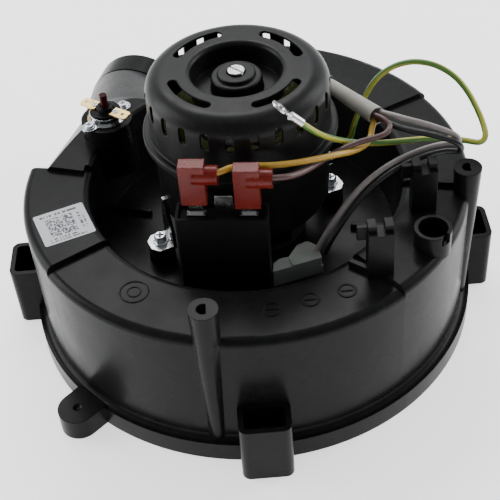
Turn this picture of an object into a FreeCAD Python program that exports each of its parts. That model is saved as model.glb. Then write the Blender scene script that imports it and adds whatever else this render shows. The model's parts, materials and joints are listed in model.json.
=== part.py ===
import FreeCAD, Part
import math
import os
import Sketcher

# Combustion fan (draft inducer): a shaded moulded scroll housing with the motor standing in its well.
# Millimetres, +Z up.  The origin is on the motor axis, in the plane that the housing stands on.

Vector = FreeCAD.Vector
doc = FreeCAD.newDocument("combustion_fan")
sheet = doc.addObject("Spreadsheet::Sheet", "Dims")

DIMENSIONS = {
    # scroll housing
    "wall_radius": 109.0, "shell": 3.0, "rim_radius": 113.3, "rim_height": 11.0, "rim_wall": 3.0,
    "plate_seat": 4.0, "edge_round": 4.0, "foot_round": 3.0,
    "well_top_radius": 76.0, "well_floor_radius": 73.7, "floor_top": 43.5, "shaft_hole_radius": 9.0,
    "deck_front": 76.5, "deck_left": 79.0, "deck_right": 78.5, "deck_back": 81.0, "deck_start": 83.0,
    "deck_outlet": 81.5,
    # outlet duct and spigot
    "outlet_offset": 91.7, "outlet_height": 40.0, "spigot_radius": 27.1,
    "spigot_length": 15.6, "groove_width": 1.0, "groove_depth": 1.0, "duct_floor": 4.0,
    "duct_start": -15.0, "duct_middle": 50.0, "duct_end": 91.6,
    "duct_start_radius": 61.0, "duct_start_offset": 51.5, "duct_middle_radius": 40.7,
    "duct_middle_offset": 70.5,
    # fixing ears, lugs and posts
    "ear_reach": 124.0, "ear_width": 24.0, "ear_height": 34.0, "ear_wall": 2.6, "ear_floor": 5.0,
    "ear_round": 4.0, "ear_bolt_circle": 116.0, "ear_hole_radius": 2.75,
    "lug_circle": 121.6, "lug_radius": 9.5, "lug_height": 12.0, "dimple_radius": 2.2,
    "post_circle": 107.0, "post_top_radius": 6.6, "post_foot_radius": 3.9, "post_hole_radius": 2.9,
    "front_post_top": 95.0, "right_post_top": 92.0, "post_hole_depth": 16.0,
    "tower_width": 11.4, "tower_depth": 8.0, "tower_top": 105.0, "tower_slot": 3.6,
    "cup_radius": 8.5, "cup_wall": 1.8, "cup_top": 88.5, "cup_depth": 9.0,
    "pad_radius": 13.0, "pad_top": 91.0, "pad_pilot_radius": 8.4,
    "rib_height": 3.0, "rib_width": 2.2, "clock_radius": 4.2, "clock_line": 0.8, "clock_height": 0.4,
    # inlet plate, gasket and screws
    "plate_radius": 110.0, "plate_thick": 3.0, "plate_base": 0.6, "inlet_radius": 40.0,
    "inlet_lip_height": 6.0, "gasket_thick": 0.4, "plate_screw_circle": 102.5,
    # impeller
    "wheel_radius": 66.0, "wheel_disc_base": 34.5, "wheel_disc": 2.0, "blade_base": 12.0,
    "blade_inner": 47.0, "blade_outer": 64.5, "blade_thick": 1.6, "blade_count": 24.0,
    "shroud_inner": 46.0, "shroud_base": 10.4, "shroud_thick": 1.6, "hub_radius": 9.0, "hub_base": 16.0,
    "hub_top": 38.5, "bore_gap": 0.03,
    # motor
    "shaft_radius": 3.96, "shaft_base": 14.0, "shaft_top": 139.8,
    "motor_radius": 41.5, "cap_radius": 42.6, "sheet_steel": 1.2,
    "flange_radius": 46.0, "flange_middle": 109.2, "cap_top": 140.5, "cap_round": 9.0,
    "recess_radius": 21.0, "recess_floor": 130.0, "motor_base": 70.0, "base_round": 3.0,
    "base_hub_radius": 12.5, "base_hub_bottom": 61.5, "hub_outer": 11.7, "hub_step": 8.8,
    "hub_shoulder": 137.0, "hub_crown": 138.6,
    "slot_circle": 29.8, "slot_width": 4.8, "slot_half_angle": 23.0, "vent_width": 3.8,
    "vent_height": 9.0, "vent_middle": 130.0,
    "stator_radius": 40.2, "stator_bore": 20.6, "stator_base": 85.0, "stator_top": 107.0,
    "coil_inner": 23.0, "coil_outer": 36.5, "coil_height": 11.0,
    "rotor_radius": 20.0, "cage_height": 5.0, "bearing_radius": 7.6, "bearing_height": 9.0,
    # feet and mounting
    "foot_circle": 47.0, "foot_width": 13.0, "foot_steel": 1.6, "foot_tab_base": 52.0, "foot_tip": 80.0,
    "boss_top": 47.0, "grommet_radius": 6.5, "foot_screw_radius": 2.1,
    # run capacitor
    "case_width": 41.0, "case_depth": 12.6, "case_top": 103.0, "case_base": 45.5,
    "flag_width": 11.2, "flag_depth": 6.4, "flag_height": 21.0, "flag_wall": 0.9, "barrel_radius": 4.3,
    "blade_width": 6.3, "blade_gauge": 0.8, "spare_blade_top": 110.4,
    # thermal limit switch
    "switch_flange_radius": 12.3, "switch_can_radius": 8.4, "switch_body_radius": 7.4,
    "switch_body_top": 98.5, "switch_cup": 4.0, "button_radius": 1.9, "button_top": 105.0,
    "small_screw_radius": 1.4,
    # leads
    "lead_radius": 1.4, "sleeve_mouth": 4.4, "sleeve_root": 3.2, "sleeve_wall": 0.6,
}


class Dim:
    """A length with the spreadsheet formula that it comes from."""

    def __init__(self, value, formula):
        self.value = float(value)
        self.formula = formula

    def joined(self, other, sign, left=False):
        other = as_dim(other)
        a, b = (other, self) if left else (self, other)
        values = {"+": a.value + b.value, "-": a.value - b.value, "*": a.value * b.value}
        value = values[sign] if sign != "/" else a.value / b.value
        return Dim(value, f"({a.formula} {sign} {b.formula})")

    def __add__(self, other):
        return self.joined(other, "+")

    def __radd__(self, other):
        return self.joined(other, "+", True)

    def __sub__(self, other):
        return self.joined(other, "-")

    def __rsub__(self, other):
        return self.joined(other, "-", True)

    def __mul__(self, other):
        return self.joined(other, "*")

    def __rmul__(self, other):
        return self.joined(other, "*", True)

    def __truediv__(self, other):
        return self.joined(other, "/")

    def __neg__(self):
        return Dim(0, "0") - self


def as_dim(number):
    return number if isinstance(number, Dim) else Dim(number, f"{float(number):.6g}")


class Sizes:
    """The driving dimensions by name: d.wall_radius and so on."""


def fill_sheet():
    sizes = Sizes()
    for row, (alias, value) in enumerate(DIMENSIONS.items(), start=1):
        sheet.set(f"A{row}", alias)
        sheet.set(f"B{row}", str(value))
        sheet.setAlias(f"B{row}", alias)
        setattr(sizes, alias, Dim(value, f"Dims.{alias}"))
    doc.recompute()
    return sizes


d = fill_sheet()


# ---------------------------------------------------------------- building blocks

def bind(target, **properties):
    for name, amount in properties.items():
        target.setExpression(name, as_dim(amount).formula)


def place(target, x=0, y=0, z=0, yaw=0, tilt=None):
    """Set a position bound to the sheet and a turn in degrees about Z, after an optional own rotation."""
    turn = FreeCAD.Rotation(Vector(0, 0, 1), yaw)
    if tilt is not None:
        turn = turn.multiply(tilt)
    spots = [as_dim(v) for v in (x, y, z)]
    target.Placement = FreeCAD.Placement(Vector(*[s.value for s in spots]), turn)
    for axis, spot in zip("xyz", spots):
        target.setExpression(f"Placement.Base.{axis}", spot.formula)
    return target


def cylinder(name, radius, height, x=0, y=0, z=0, yaw=0, tilt=None):
    solid = doc.addObject("Part::Cylinder", name)
    bind(solid, Radius=radius, Height=height)
    return place(solid, x, y, z, yaw, tilt)


def cone(name, low_radius, top_radius, height, x=0, y=0, z=0, yaw=0, tilt=None):
    solid = doc.addObject("Part::Cone", name)
    bind(solid, Radius1=low_radius, Radius2=top_radius, Height=height)
    return place(solid, x, y, z, yaw, tilt)


def box(name, length, width, height, x=0, y=0, z=0, yaw=0, tilt=None):
    solid = doc.addObject("Part::Box", name)
    bind(solid, Length=length, Width=width, Height=height)
    return place(solid, x, y, z, yaw, tilt)


def polar(radius, angle):
    """Point at a radius and an angle in degrees, as two bound lengths."""
    radius = as_dim(radius)
    return radius * math.cos(math.radians(angle)), radius * math.sin(math.radians(angle))


def radial_box(name, near, far, width, low, height, angle):
    """A box from radius near to radius far, centred on the ray at an angle."""
    near, far, width = as_dim(near), as_dim(far), as_dim(width)
    c, s = math.cos(math.radians(angle)), math.sin(math.radians(angle))
    return box(name, far - near, width, height, near * c + width * (s / 2), near * s - width * (c / 2),
               low, yaw=angle)


def fuse(name, *parts):
    whole = doc.addObject("Part::MultiFuse", name)
    whole.Shapes = list(parts)
    return whole


def cut(name, base, *tools):
    tool = tools[0] if len(tools) == 1 else fuse(name + "_tools", *tools)
    whole = doc.addObject("Part::Cut", name)
    whole.Base = base
    whole.Tool = tool
    return whole


def common(name, *parts):
    whole = doc.addObject("Part::MultiCommon", name)
    whole.Shapes = list(parts)
    return whole


def group(name, *parts):
    whole = doc.addObject("Part::Compound", name)
    whole.Links = list(parts)
    return whole


def origin_plane(body, role):
    return next(f for f in body.Origin.OriginFeatures if f.Role == role)


def draw_outline(sketch, outline):
    """Closed outline of (across, up) corners; a corner with a third value is rounded to that radius.

    A rounded corner becomes an arc between two bound tangent points.
    """
    count = len(outline)
    corners = [(as_dim(p[0]), as_dim(p[1]), as_dim(p[2]) if len(p) > 2 else None) for p in outline]
    stops = []
    for i, (across, up, radius) in enumerate(corners):
        if radius is None:
            stops.append([(across, up)])
            continue
        before, after = corners[i - 1], corners[(i + 1) % count]
        at = Vector(across.value, up.value, 0)
        to_before = (Vector(before[0].value, before[1].value, 0) - at).normalize()
        to_after = (Vector(after[0].value, after[1].value, 0) - at).normalize()
        reach = radius * (1 / math.tan(to_before.getAngle(to_after) / 2))
        stops.append([(across + reach * ray.x, up + reach * ray.y) for ray in (to_before, to_after)])
    edges = []
    for i, ends in enumerate(stops):
        if len(ends) == 2:
            edges.append((ends[0], ends[1], corners[i]))
        edges.append((ends[-1], stops[(i + 1) % count][0], None))
    first = sketch.GeometryCount
    backward = []
    for start, end, corner in edges:
        a = Vector(start[0].value, start[1].value, 0)
        b = Vector(end[0].value, end[1].value, 0)
        if corner is None:
            sketch.addGeometry(Part.LineSegment(a, b), False)
            backward.append(False)
            continue
        tip = Vector(corner[0].value, corner[1].value, 0)
        chord = (a + b) * 0.5
        radius = corner[2].value
        rise = math.sqrt(max(radius ** 2 - (b - a).Length ** 2 / 4, 0))
        centre = chord + (chord - tip).normalize() * rise
        turns_left = (a - centre).cross(b - centre).z > 0
        from_point, to_point = (a, b) if turns_left else (b, a)
        low = math.atan2(from_point.y - centre.y, from_point.x - centre.x)
        high = math.atan2(to_point.y - centre.y, to_point.x - centre.x)
        if high < low:
            high += 2 * math.pi
        circle = Part.Circle(centre, Vector(0, 0, 1), radius)
        sketch.addGeometry(Part.ArcOfCircle(circle, low, high), False)
        backward.append(not turns_left)
    total = len(edges)
    for i, (start, end, corner) in enumerate(edges):
        after = (i + 1) % total
        geo = first + i
        tail = 1 if backward[i] else 2
        head = 2 if backward[after] else 1
        sketch.addConstraint(Sketcher.Constraint("Coincident", geo, tail, first + after, head))
        pin(sketch, geo, 2 if backward[i] else 1, start)
        if corner is not None:
            index = sketch.addConstraint(Sketcher.Constraint("Radius", geo, corner[2].value))
            sketch.setExpression(f"Constraints[{index}]", corner[2].formula)


def pin(sketch, geo, end, point):
    """Tie a point of the sketch to its two bound coordinates."""
    for kind, spot in zip(("DistanceX", "DistanceY"), point):
        if abs(spot.value) < 1e-9 and spot.formula == "0":
            axis = -2 if kind == "DistanceX" else -1
            sketch.addConstraint(Sketcher.Constraint("PointOnObject", geo, end, axis))
            continue
        index = sketch.addConstraint(Sketcher.Constraint(kind, -1, 1, geo, end, spot.value))
        sketch.setExpression(f"Constraints[{index}]", spot.formula)


def new_sketch(body, role, name):
    sketch = body.newObject("Sketcher::SketchObject", name)
    sketch.AttachmentSupport = (origin_plane(body, role), [""])
    sketch.MapMode = "FlatFace"
    return sketch


def turned(name, outline, angle=360, start=0):
    """A body turned about Z from an outline of (radius, height) corners."""
    body = doc.addObject("PartDesign::Body", name)
    sketch = new_sketch(body, "XZ_Plane", name + "_profile")
    draw_outline(sketch, outline)
    turn = body.newObject("PartDesign::Revolution", name + "_turn")
    turn.Profile = sketch
    turn.ReferenceAxis = (sketch, ["V_Axis"])
    turn.Angle = angle
    body.Placement = FreeCAD.Placement(Vector(), FreeCAD.Rotation(Vector(0, 0, 1), start))
    return body


def ring(name, outer, inner, low, height):
    outer, inner, low = as_dim(outer), as_dim(inner), as_dim(low)
    return turned(name, [(inner, low), (outer, low), (outer, low + height), (inner, low + height)])


def padded(name, outline, height, x=0, y=0, z=0, yaw=0, tilt=None):
    """A body padded up from an outline in its own XY plane."""
    body = doc.addObject("PartDesign::Body", name)
    sketch = new_sketch(body, "XY_Plane", name + "_outline")
    draw_outline(sketch, outline)
    pad = body.newObject("PartDesign::Pad", name + "_pad")
    pad.Profile = sketch
    bind(pad, Length=height)
    return place(body, x, y, z, yaw, tilt)


def polar_copies(body, feature, count, name):
    pattern = body.newObject("PartDesign::PolarPattern", name)
    pattern.Originals = [feature]
    pattern.Axis = (origin_plane(body, "Z_Axis"), [""])
    pattern.Angle = 360
    pattern.Occurrences = int(count)
    body.Tip = pattern
    return pattern


def rounded_rect(width, depth, radius, x=0, y=0):
    """Corners of a rectangle centred at (x, y) with rounded corners."""
    width, depth, x, y = as_dim(width), as_dim(depth), as_dim(x), as_dim(y)
    corners = ((-0.5, -0.5), (0.5, -0.5), (0.5, 0.5), (-0.5, 0.5))
    return [(x + width * i, y + depth * j, radius) for i, j in corners]


def screw(name, head_radius, head_height, shank_radius, length, x, y, z):
    """Pan-head screw: the head's underside is at height z and the shank points down."""
    z, length = as_dim(z), as_dim(length)
    head = cylinder(name + "_head", head_radius, head_height, x, y, z)
    shank = cylinder(name + "_shank", shank_radius, length + 0.01, x, y, z - length)
    slot = box(name + "_slot", as_dim(head_radius) * 2.4, 0.8, 1,
               as_dim(x) - as_dim(head_radius) * 1.2, as_dim(y) - 0.4, z + head_height - 0.7)
    return cut(name, fuse(name + "_blank", head, shank), slot)


nodes = {}


def keep(label, target):
    """Name a finished sub-part: the label is the name of its file."""
    target.Label = label
    nodes[label] = target
    return target


# ---------------------------------------------------------------- scroll housing

# Deck levels of the ring: name, level, first angle, last angle (degrees, anticlockwise from +X).
DECKS = [("start", d.deck_start, 27, 112), ("back", d.deck_back, -13, 27), ("right", d.deck_right, -53, -13),
         ("front", d.deck_front, -149, -53), ("left", d.deck_left, -189.5, -149)]
OUTLET_AXIS_ANGLE = math.degrees(math.atan2(0.955, 0.295))
WELL_REST_ANGLE = 180 - 9.5


def well_slope(height):
    """Radius of the well's drafted wall at a height."""
    lean = (d.well_top_radius - d.well_floor_radius) / (d.deck_front - d.edge_round - d.floor_top)
    return d.well_floor_radius + lean * (height - d.floor_top)


def ring_section(deck):
    """Shell section of the scroll: rim, outer wall, deck and the wall of the motor well."""
    s = d.shell
    return [
        (d.rim_radius - d.rim_wall, 0), (d.rim_radius, 0), (d.rim_radius, d.rim_height, 1.0),
        (d.wall_radius, d.rim_height, d.foot_round), (d.wall_radius, deck, d.edge_round),
        (well_slope(deck), deck, d.edge_round), (d.well_floor_radius, d.floor_top),
        (d.well_floor_radius, d.floor_top - s), (d.well_floor_radius + s, d.floor_top - s),
        (well_slope(deck) + s, deck - s), (d.wall_radius - s, deck - s),
        (d.wall_radius - s, d.plate_seat), (d.rim_radius - d.rim_wall, d.plate_seat),
    ]


def well_wall_section(deck):
    s = d.shell
    return [
        (well_slope(deck), deck, d.edge_round - 1.5), (d.well_floor_radius, d.floor_top),
        (d.well_floor_radius, d.floor_top - s), (d.well_floor_radius + s, d.floor_top - s),
        (well_slope(deck) + s, deck - s), (well_slope(deck) + s + 1, deck - s),
        (well_slope(deck) + s + 1, deck),
    ]


def end_wall(name, deck, first):
    """Wall that closes the scroll's section where the outlet duct leaves it."""
    return turned(name, [
        (d.well_top_radius + d.shell, d.plate_seat), (d.wall_radius - 1, d.plate_seat),
        (d.wall_radius - 1, deck - d.edge_round), (d.wall_radius - d.edge_round, deck - 1),
        (d.well_top_radius + d.edge_round, deck - 1), (d.well_top_radius + d.shell, deck - d.edge_round)],
        2, first)


def along_outlet(distance, offset):
    """Point at a distance along the outlet axis direction and an offset to its left."""
    a = math.radians(OUTLET_AXIS_ANGLE)
    distance, offset = as_dim(distance), as_dim(offset)
    return (distance * math.cos(a) - offset * math.sin(a), distance * math.sin(a) + offset * math.cos(a))


FACING = FreeCAD.Rotation(Vector(0, 1, 0), 90)


def outlet_circle(name, distance, offset, radius):
    x, y = along_outlet(distance, offset)
    edge = doc.addObject("Part::Circle", name)
    bind(edge, Radius=radius)
    return place(edge, x, y, d.outlet_height, OUTLET_AXIS_ANGLE, FACING)


def loft(name, *sections):
    skin = doc.addObject("Part::Loft", name)
    skin.Sections = list(sections)
    skin.Solid = True
    skin.Ruled = True
    return skin


def duct(name, inset, lead_in, tail=0):
    """The outlet's tapering duct, from the scroll to the spigot's groove, with a straight tail if asked."""
    slope = (d.duct_middle_radius - d.duct_start_radius) / (d.duct_middle - d.duct_start)
    drift = (d.duct_middle_offset - d.duct_start_offset) / (d.duct_middle - d.duct_start)
    back = as_dim(lead_in)
    stations = [
        (d.duct_start - back, d.duct_start_offset - drift * back, d.duct_start_radius - slope * back),
        (d.duct_middle, d.duct_middle_offset, d.duct_middle_radius),
        (d.duct_end, d.outlet_offset, d.spigot_radius),
        (d.duct_end + tail, d.outlet_offset, d.spigot_radius),
    ]
    if not tail:
        stations.pop()
    rings = [outlet_circle(f"{name}_{i}", at, offset, radius - inset)
             for i, (at, offset, radius) in enumerate(stations)]
    spans = [loft(f"{name}_span_{i}", near, far) for i, (near, far) in enumerate(zip(rings, rings[1:]))]
    slab = box(name + "_slab", 400, 400, d.deck_outlet - d.duct_floor - inset * 2, -200, -200,
               d.duct_floor + inset)
    shaft_room = cylinder(name + "_well", d.well_top_radius + d.shell + 0.6, 200, z=-50)
    return cut(name, common(name + "_trimmed", fuse(name + "_skin", *spans), slab), shaft_room)


def spigot(name, radius, start, length):
    x, y = along_outlet(start, d.outlet_offset)
    return cylinder(name, radius, length, x, y, d.outlet_height, OUTLET_AXIS_ANGLE, FACING)


def ear(angle):
    tag = f"ear_{angle % 360}"
    near = d.wall_radius - d.shell
    outline = rounded_rect(d.ear_reach - near, d.ear_width, d.ear_round, (d.ear_reach + near) / 2, 0)
    body = padded(tag + "_blank", outline, d.ear_height, yaw=angle)
    recess = cylinder(tag + "_recess", d.rim_radius - d.rim_wall - 0.15, d.plate_seat + 1, 0, 0, -1)
    return cut(tag, body, recess)


def ear_pocket(angle):
    near = d.wall_radius + 0.6
    far = d.ear_reach - d.ear_wall
    return padded(f"ear_pocket_{angle % 360}",
                  rounded_rect(far - near, d.ear_width - d.ear_wall * 2, 2.0, (far + near) / 2, 0),
                  d.ear_height, z=d.ear_floor, yaw=angle)


def ear_hole(angle):
    x, y = polar(d.ear_bolt_circle, angle)
    return cylinder(f"ear_hole_{angle % 360}", d.ear_hole_radius, 20, x, y, -1)


def lug(angle):
    x, y = polar(d.lug_circle, angle)
    tip = cylinder(f"lug_tip_{angle % 360}", d.lug_radius, d.lug_height, x, y, 0)
    web = radial_box(f"lug_web_{angle % 360}", d.rim_radius - 2, d.lug_circle, d.lug_radius * 2, 0,
                     d.lug_height, angle)
    return [tip, web]


def lug_dimple(angle):
    x, y = polar(d.lug_circle, angle)
    return cone(f"lug_dimple_{angle % 360}", 0.6, d.dimple_radius, 1.2, x, y, d.lug_height - 1.2)


def post(name, angle, top):
    x, y = polar(d.post_circle, angle)
    return cone(name, d.post_foot_radius, d.post_top_radius, top - d.rim_height + 4, x, y, d.rim_height - 4)


def post_hole(name, angle, top):
    x, y = polar(d.post_circle, angle)
    flat = box(name + "_flat", 10, 10, 40, x + 1.2, y - 5, top - d.post_hole_depth - 5)
    return cut(name, cylinder(name + "_drill", d.post_hole_radius, 40, x, y, top - d.post_hole_depth), flat)


def tower(name, x, y, yaw):
    """Snap tower that holds a wire clip: a slotted post with a hooked top and a side prong."""
    base = d.deck_front - 5
    body = box(name + "_post", d.tower_width, d.tower_depth, d.tower_top - base, x, y, base, yaw)
    slot_x = as_dim(x) + (d.tower_width - d.tower_slot) / 2
    slot = box(name + "_slot", d.tower_slot, 30, 7, slot_x, as_dim(y) - 10, d.tower_top - 4, yaw)
    step = box(name + "_step", 30, 3, 4.5, as_dim(x) - 5, as_dim(y) - 1, d.tower_top - 3, yaw)
    prong = box(name + "_prong", 5, 2.4, 7, as_dim(x) - 4.4, as_dim(y) + 4.5, d.tower_top - 9, yaw)
    return [fuse(name, cut(name + "_head", body, slot, step), prong)]


def cup():
    x, y = polar(101.5, -36.3)
    foot = d.deck_right - 3
    wall = cylinder("cup_wall_body", d.cup_radius, d.cup_top - foot, x, y, foot)
    notch = box("cup_notch", 9, 4.6, 5.5, x + 2, y - 7.6, d.cup_top - 4.5, -42)
    return cut("cup", wall, notch)


def cup_bore():
    x, y = polar(101.5, -36.3)
    return cylinder("cup_bore", d.cup_radius - d.cup_wall, d.cup_depth + 1, x, y, d.cup_top - d.cup_depth)


SWITCH_ANGLE = 150.3
SWITCH_CIRCLE = 77.5
SWITCH_YAW = 44.0
SWITCH_BLADE_YAWS = (145, -35)


def switch_spot():
    return polar(SWITCH_CIRCLE, SWITCH_ANGLE)


def switch_pad():
    x, y = switch_spot()
    low = d.deck_outlet - 20
    return [cylinder("pad_disc", d.pad_radius, d.pad_top - low, x, y, low)]


def radial_rib(angle, near):
    return radial_box(f"rib_{angle % 360}", near, d.well_floor_radius + 1, d.rib_width, d.floor_top - 1,
                      d.rib_height + 1, angle)


def date_clock(name, radius, angle):
    x, y = polar(radius, angle)
    low = d.deck_front - 0.5
    outer = cylinder(name + "_outer", d.clock_radius, d.clock_height + 0.5, x, y, low)
    inner = cylinder(name + "_inner", d.clock_radius - d.clock_line, 3, x, y, low - 1)
    bar = box(name + "_bar", d.clock_radius * 1.2, d.clock_line, d.clock_height + 0.5,
              x - d.clock_radius * 0.6, y - d.clock_line / 2, low)
    return [cut(name, outer, inner), bar]


EARS = (0, 90, 180, 270)
LUGS = (-136.7, 43.3)
POSTS = (("front_post", -101.7, d.front_post_top), ("right_post", -13.4, d.right_post_top))
RIBS = ((163, 52), (-8, 52), (118, 30), (62, 30))
CLOCKS = (("clock_a", 91, -85.5), ("clock_b", 90, -74.5), ("clock_c", 92.5, -64))


FEET = (-159, 21, 111)
PLATE_SCREWS = 6


def switch_screw_spot(side):
    x, y = switch_spot()
    along = math.radians(SWITCH_YAW)
    return x + 11.4 * side * math.cos(along), y + 11.4 * side * math.sin(along)


def foot_boss(angle):
    x, y = polar(d.foot_circle, angle)
    low = d.floor_top - d.shell - 1
    return cylinder(f"foot_boss_{angle % 360}", d.grommet_radius, d.boss_top - low, x, y, low)


def foot_pilot(angle):
    x, y = polar(d.foot_circle, angle)
    return cylinder(f"foot_pilot_{angle % 360}", d.foot_screw_radius, 10, x, y, d.boss_top - 6.5)


def plate_boss(i):
    x, y = polar(d.plate_screw_circle, 30 + 60 * i)
    return cylinder(f"plate_boss_{i}", 4.2, 16, x, y, d.plate_seat)


def plate_pilot(i):
    x, y = polar(d.plate_screw_circle, 30 + 60 * i)
    return cylinder(f"plate_pilot_{i}", d.small_screw_radius, 13, x, y, d.plate_seat - 1)


def build_housing():
    decks = [turned(f"deck_{name}", ring_section(deck), last - first, first)
             for name, deck, first, last in DECKS]
    rest = turned("well_wall", well_wall_section(d.deck_outlet), WELL_REST_ANGLE - 112, 112)
    floor = ring("well_floor", d.well_floor_radius + 1, d.shaft_hole_radius, d.floor_top - d.shell, d.shell)
    rim = turned("rim_rest", [(d.rim_radius - d.rim_wall, 0), (d.rim_radius, 0),
                              (d.rim_radius, d.rim_height), (d.rim_radius - d.rim_wall, d.rim_height)])
    neck = spigot("spigot_neck", d.spigot_radius - d.groove_depth, d.duct_end - 1, d.groove_width + 2)
    collar = spigot("spigot_collar", d.spigot_radius, d.duct_end + d.groove_width,
                    d.spigot_length - d.groove_width)
    outer = duct("duct_outer", 0, 0)
    inner = duct("duct_inner", d.shell, 9, d.spigot_length + 5)
    walls = [end_wall("end_wall_left", d.deck_left, 170.5), end_wall("end_wall_start", d.deck_outlet, 110)]
    skirt = turned("duct_skirt", [
        (d.well_top_radius + d.shell + 1, d.duct_floor), (d.rim_radius, d.duct_floor),
        (d.rim_radius, d.duct_floor + d.shell), (d.well_top_radius + d.shell + 1, d.duct_floor + d.shell)],
        172 - 111, 111)
    added = [rest, floor, rim, skirt] + walls + [outer, neck, collar] + [ear(a) for a in EARS]
    added += switch_pad() + [cup()]
    for angle in LUGS:
        added += lug(angle)
    for name, angle, top in POSTS:
        added.append(post(name, angle, top))
    added += tower("tower_right", 76.0, -38.5, 0) + tower("tower_front", 50.5, -77.0, 0)
    added.append(box("tower_front_rib", 9.5, 2.4, 7, 43.0, -68.0, d.deck_front - 4, -38))
    added += [radial_rib(angle, near) for angle, near in RIBS]
    added += [foot_boss(angle) for angle in FEET]
    added += [plate_boss(i) for i in range(PLATE_SCREWS)]
    for name, radius, angle in CLOCKS:
        added += date_clock(name, radius, angle)
    shell = fuse("housing_shell", *(decks + added))
    x, y = switch_spot()
    sensor = cylinder("switch_opening", d.switch_can_radius + 0.4, 40, x, y, d.pad_top - 25)
    pilots = []
    for side in (-1, 1):
        px, py = switch_screw_spot(side)
        pilots.append(cylinder(f"switch_pilot_{side + 1}", d.small_screw_radius, 8, px, py, d.pad_top - 7))
    tools = [sensor, cup_bore()] + pilots
    tools += [ear_pocket(a) for a in EARS] + [ear_hole(a) for a in EARS] + [lug_dimple(a) for a in LUGS]
    tools += [post_hole(name + "_hole", angle, top) for name, angle, top in POSTS]
    tools += [foot_pilot(angle) for angle in FEET] + [plate_pilot(i) for i in range(PLATE_SCREWS)]
    hollow = cut("housing_hollow", shell, inner)
    finished = cut("volute_housing", hollow, *tools)
    for stage in (hollow, finished):
        stage.Refine = False
    return finished


# ---------------------------------------------------------------- inlet side

def build_inlet_side():
    base, top = d.plate_base, d.plate_base + d.plate_thick
    disc = turned("plate_disc", [
        (d.inlet_radius, base, 1.2), (d.plate_radius, base), (d.plate_radius, top),
        (d.inlet_radius + 3, top, 1.0), (d.inlet_radius + 1.6, base + d.inlet_lip_height),
        (d.inlet_radius, base + d.inlet_lip_height)])
    sinks = []
    screws = []
    for i in range(PLATE_SCREWS):
        x, y = polar(d.plate_screw_circle, 30 + 60 * i)
        sinks.append(cone(f"plate_sink_{i}", 3.0, d.small_screw_radius, d.plate_thick - 1, x, y, base))
        sinks.append(cylinder(f"plate_drill_{i}", d.small_screw_radius, 6, x, y, base))
        head = cone(f"plate_screw_head_{i}", 3.0, d.small_screw_radius, d.plate_thick - 1, x, y, base)
        shank = cylinder(f"plate_screw_shank_{i}", d.small_screw_radius, 12, x, y, base + 1)
        screws.append(fuse(f"plate_screw_{i}", head, shank))
    keep("inlet_plate", cut("plate_drilled", disc, *sinks))
    keep("plate_screws", group("plate_screw_set", *screws))
    keep("plate_gasket", ring("gasket_ring", d.plate_radius, d.wall_radius - d.shell + 0.4, top,
                              d.gasket_thick))


# ---------------------------------------------------------------- impeller

def build_wheel():
    disc_top = d.wheel_disc_base + d.wheel_disc
    body = turned("wheel", [
        (d.shaft_radius, d.hub_base), (d.hub_radius, d.hub_base), (d.hub_radius, d.wheel_disc_base, 2.0),
        (d.wheel_radius, d.wheel_disc_base), (d.wheel_radius, disc_top), (d.hub_radius, disc_top),
        (d.hub_radius, d.hub_top), (d.shaft_radius, d.hub_top)])
    sketch = new_sketch(body, "XY_Plane", "blade_outline")
    sketch.AttachmentOffset = FreeCAD.Placement(Vector(0, 0, d.blade_base.value), FreeCAD.Rotation())
    sketch.setExpression("AttachmentOffset.Base.z", d.blade_base.formula)
    middle = (d.blade_inner + d.blade_outer) / 2
    sweep = 4.6
    half = d.blade_thick / 2
    draw_outline(sketch, [
        (d.blade_inner, -half + sweep), (middle, -half + 0.6), (d.blade_outer, -half - sweep * 1.6),
        (d.blade_outer, half - sweep * 1.6), (middle, half + 0.6), (d.blade_inner, half + sweep)])
    pad = body.newObject("PartDesign::Pad", "blade")
    pad.Profile = sketch
    bind(pad, Length=d.wheel_disc_base - d.blade_base)
    body.Tip = pad
    polar_copies(body, pad, DIMENSIONS["blade_count"], "blades")
    screw_hole = cylinder("hub_screw_hole", 2.0, 20, 0, 0, 25, 0, FACING)
    keep("impeller_wheel", cut("wheel_drilled", body, screw_hole))
    keep("impeller_shroud", ring("shroud_ring", d.wheel_radius, d.shroud_inner, d.shroud_base,
                                 d.shroud_thick))
    shank = cylinder("hub_screw_shank", 2.0, d.hub_radius - d.shaft_radius + 0.4, d.shaft_radius, 0, 25, 0,
                     FACING)
    shaft_room = cylinder("hub_screw_room", d.shaft_radius, 20, 0, 0, 15)
    keep("hub_set_screw", cut("hub_screw", shank, shaft_room))


# ---------------------------------------------------------------- motor

KIDNEYS = (38, 128, -142, -52)


def kidney(name, centre, low, height):
    """Curved slot with round ends about the motor axis."""
    r, w = d.slot_circle, d.slot_width / 2
    half = DIMENSIONS["slot_half_angle"]
    parts = [turned(name + "_arc", [(r - w, low), (r + w, low), (r + w, low + height), (r - w, low + height)],
                    2 * half, centre - half)]
    for side in (-1, 1):
        x, y = polar(r, centre + side * half)
        parts.append(cylinder(f"{name}_end_{side + 1}", w, height, x, y, low))
    return fuse(name, *parts)


def vent(i):
    angle = -142.5 + 15 * i
    x, y = polar(d.cap_radius - 8, angle)
    turn = FreeCAD.Rotation(Vector(0, 1, 0), 90)
    half = d.vent_width / 2 - 0.05
    return padded(f"vent_{i}", rounded_rect(d.vent_height, d.vent_width, half), 12, x, y, d.vent_middle,
                  angle, turn)


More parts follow.
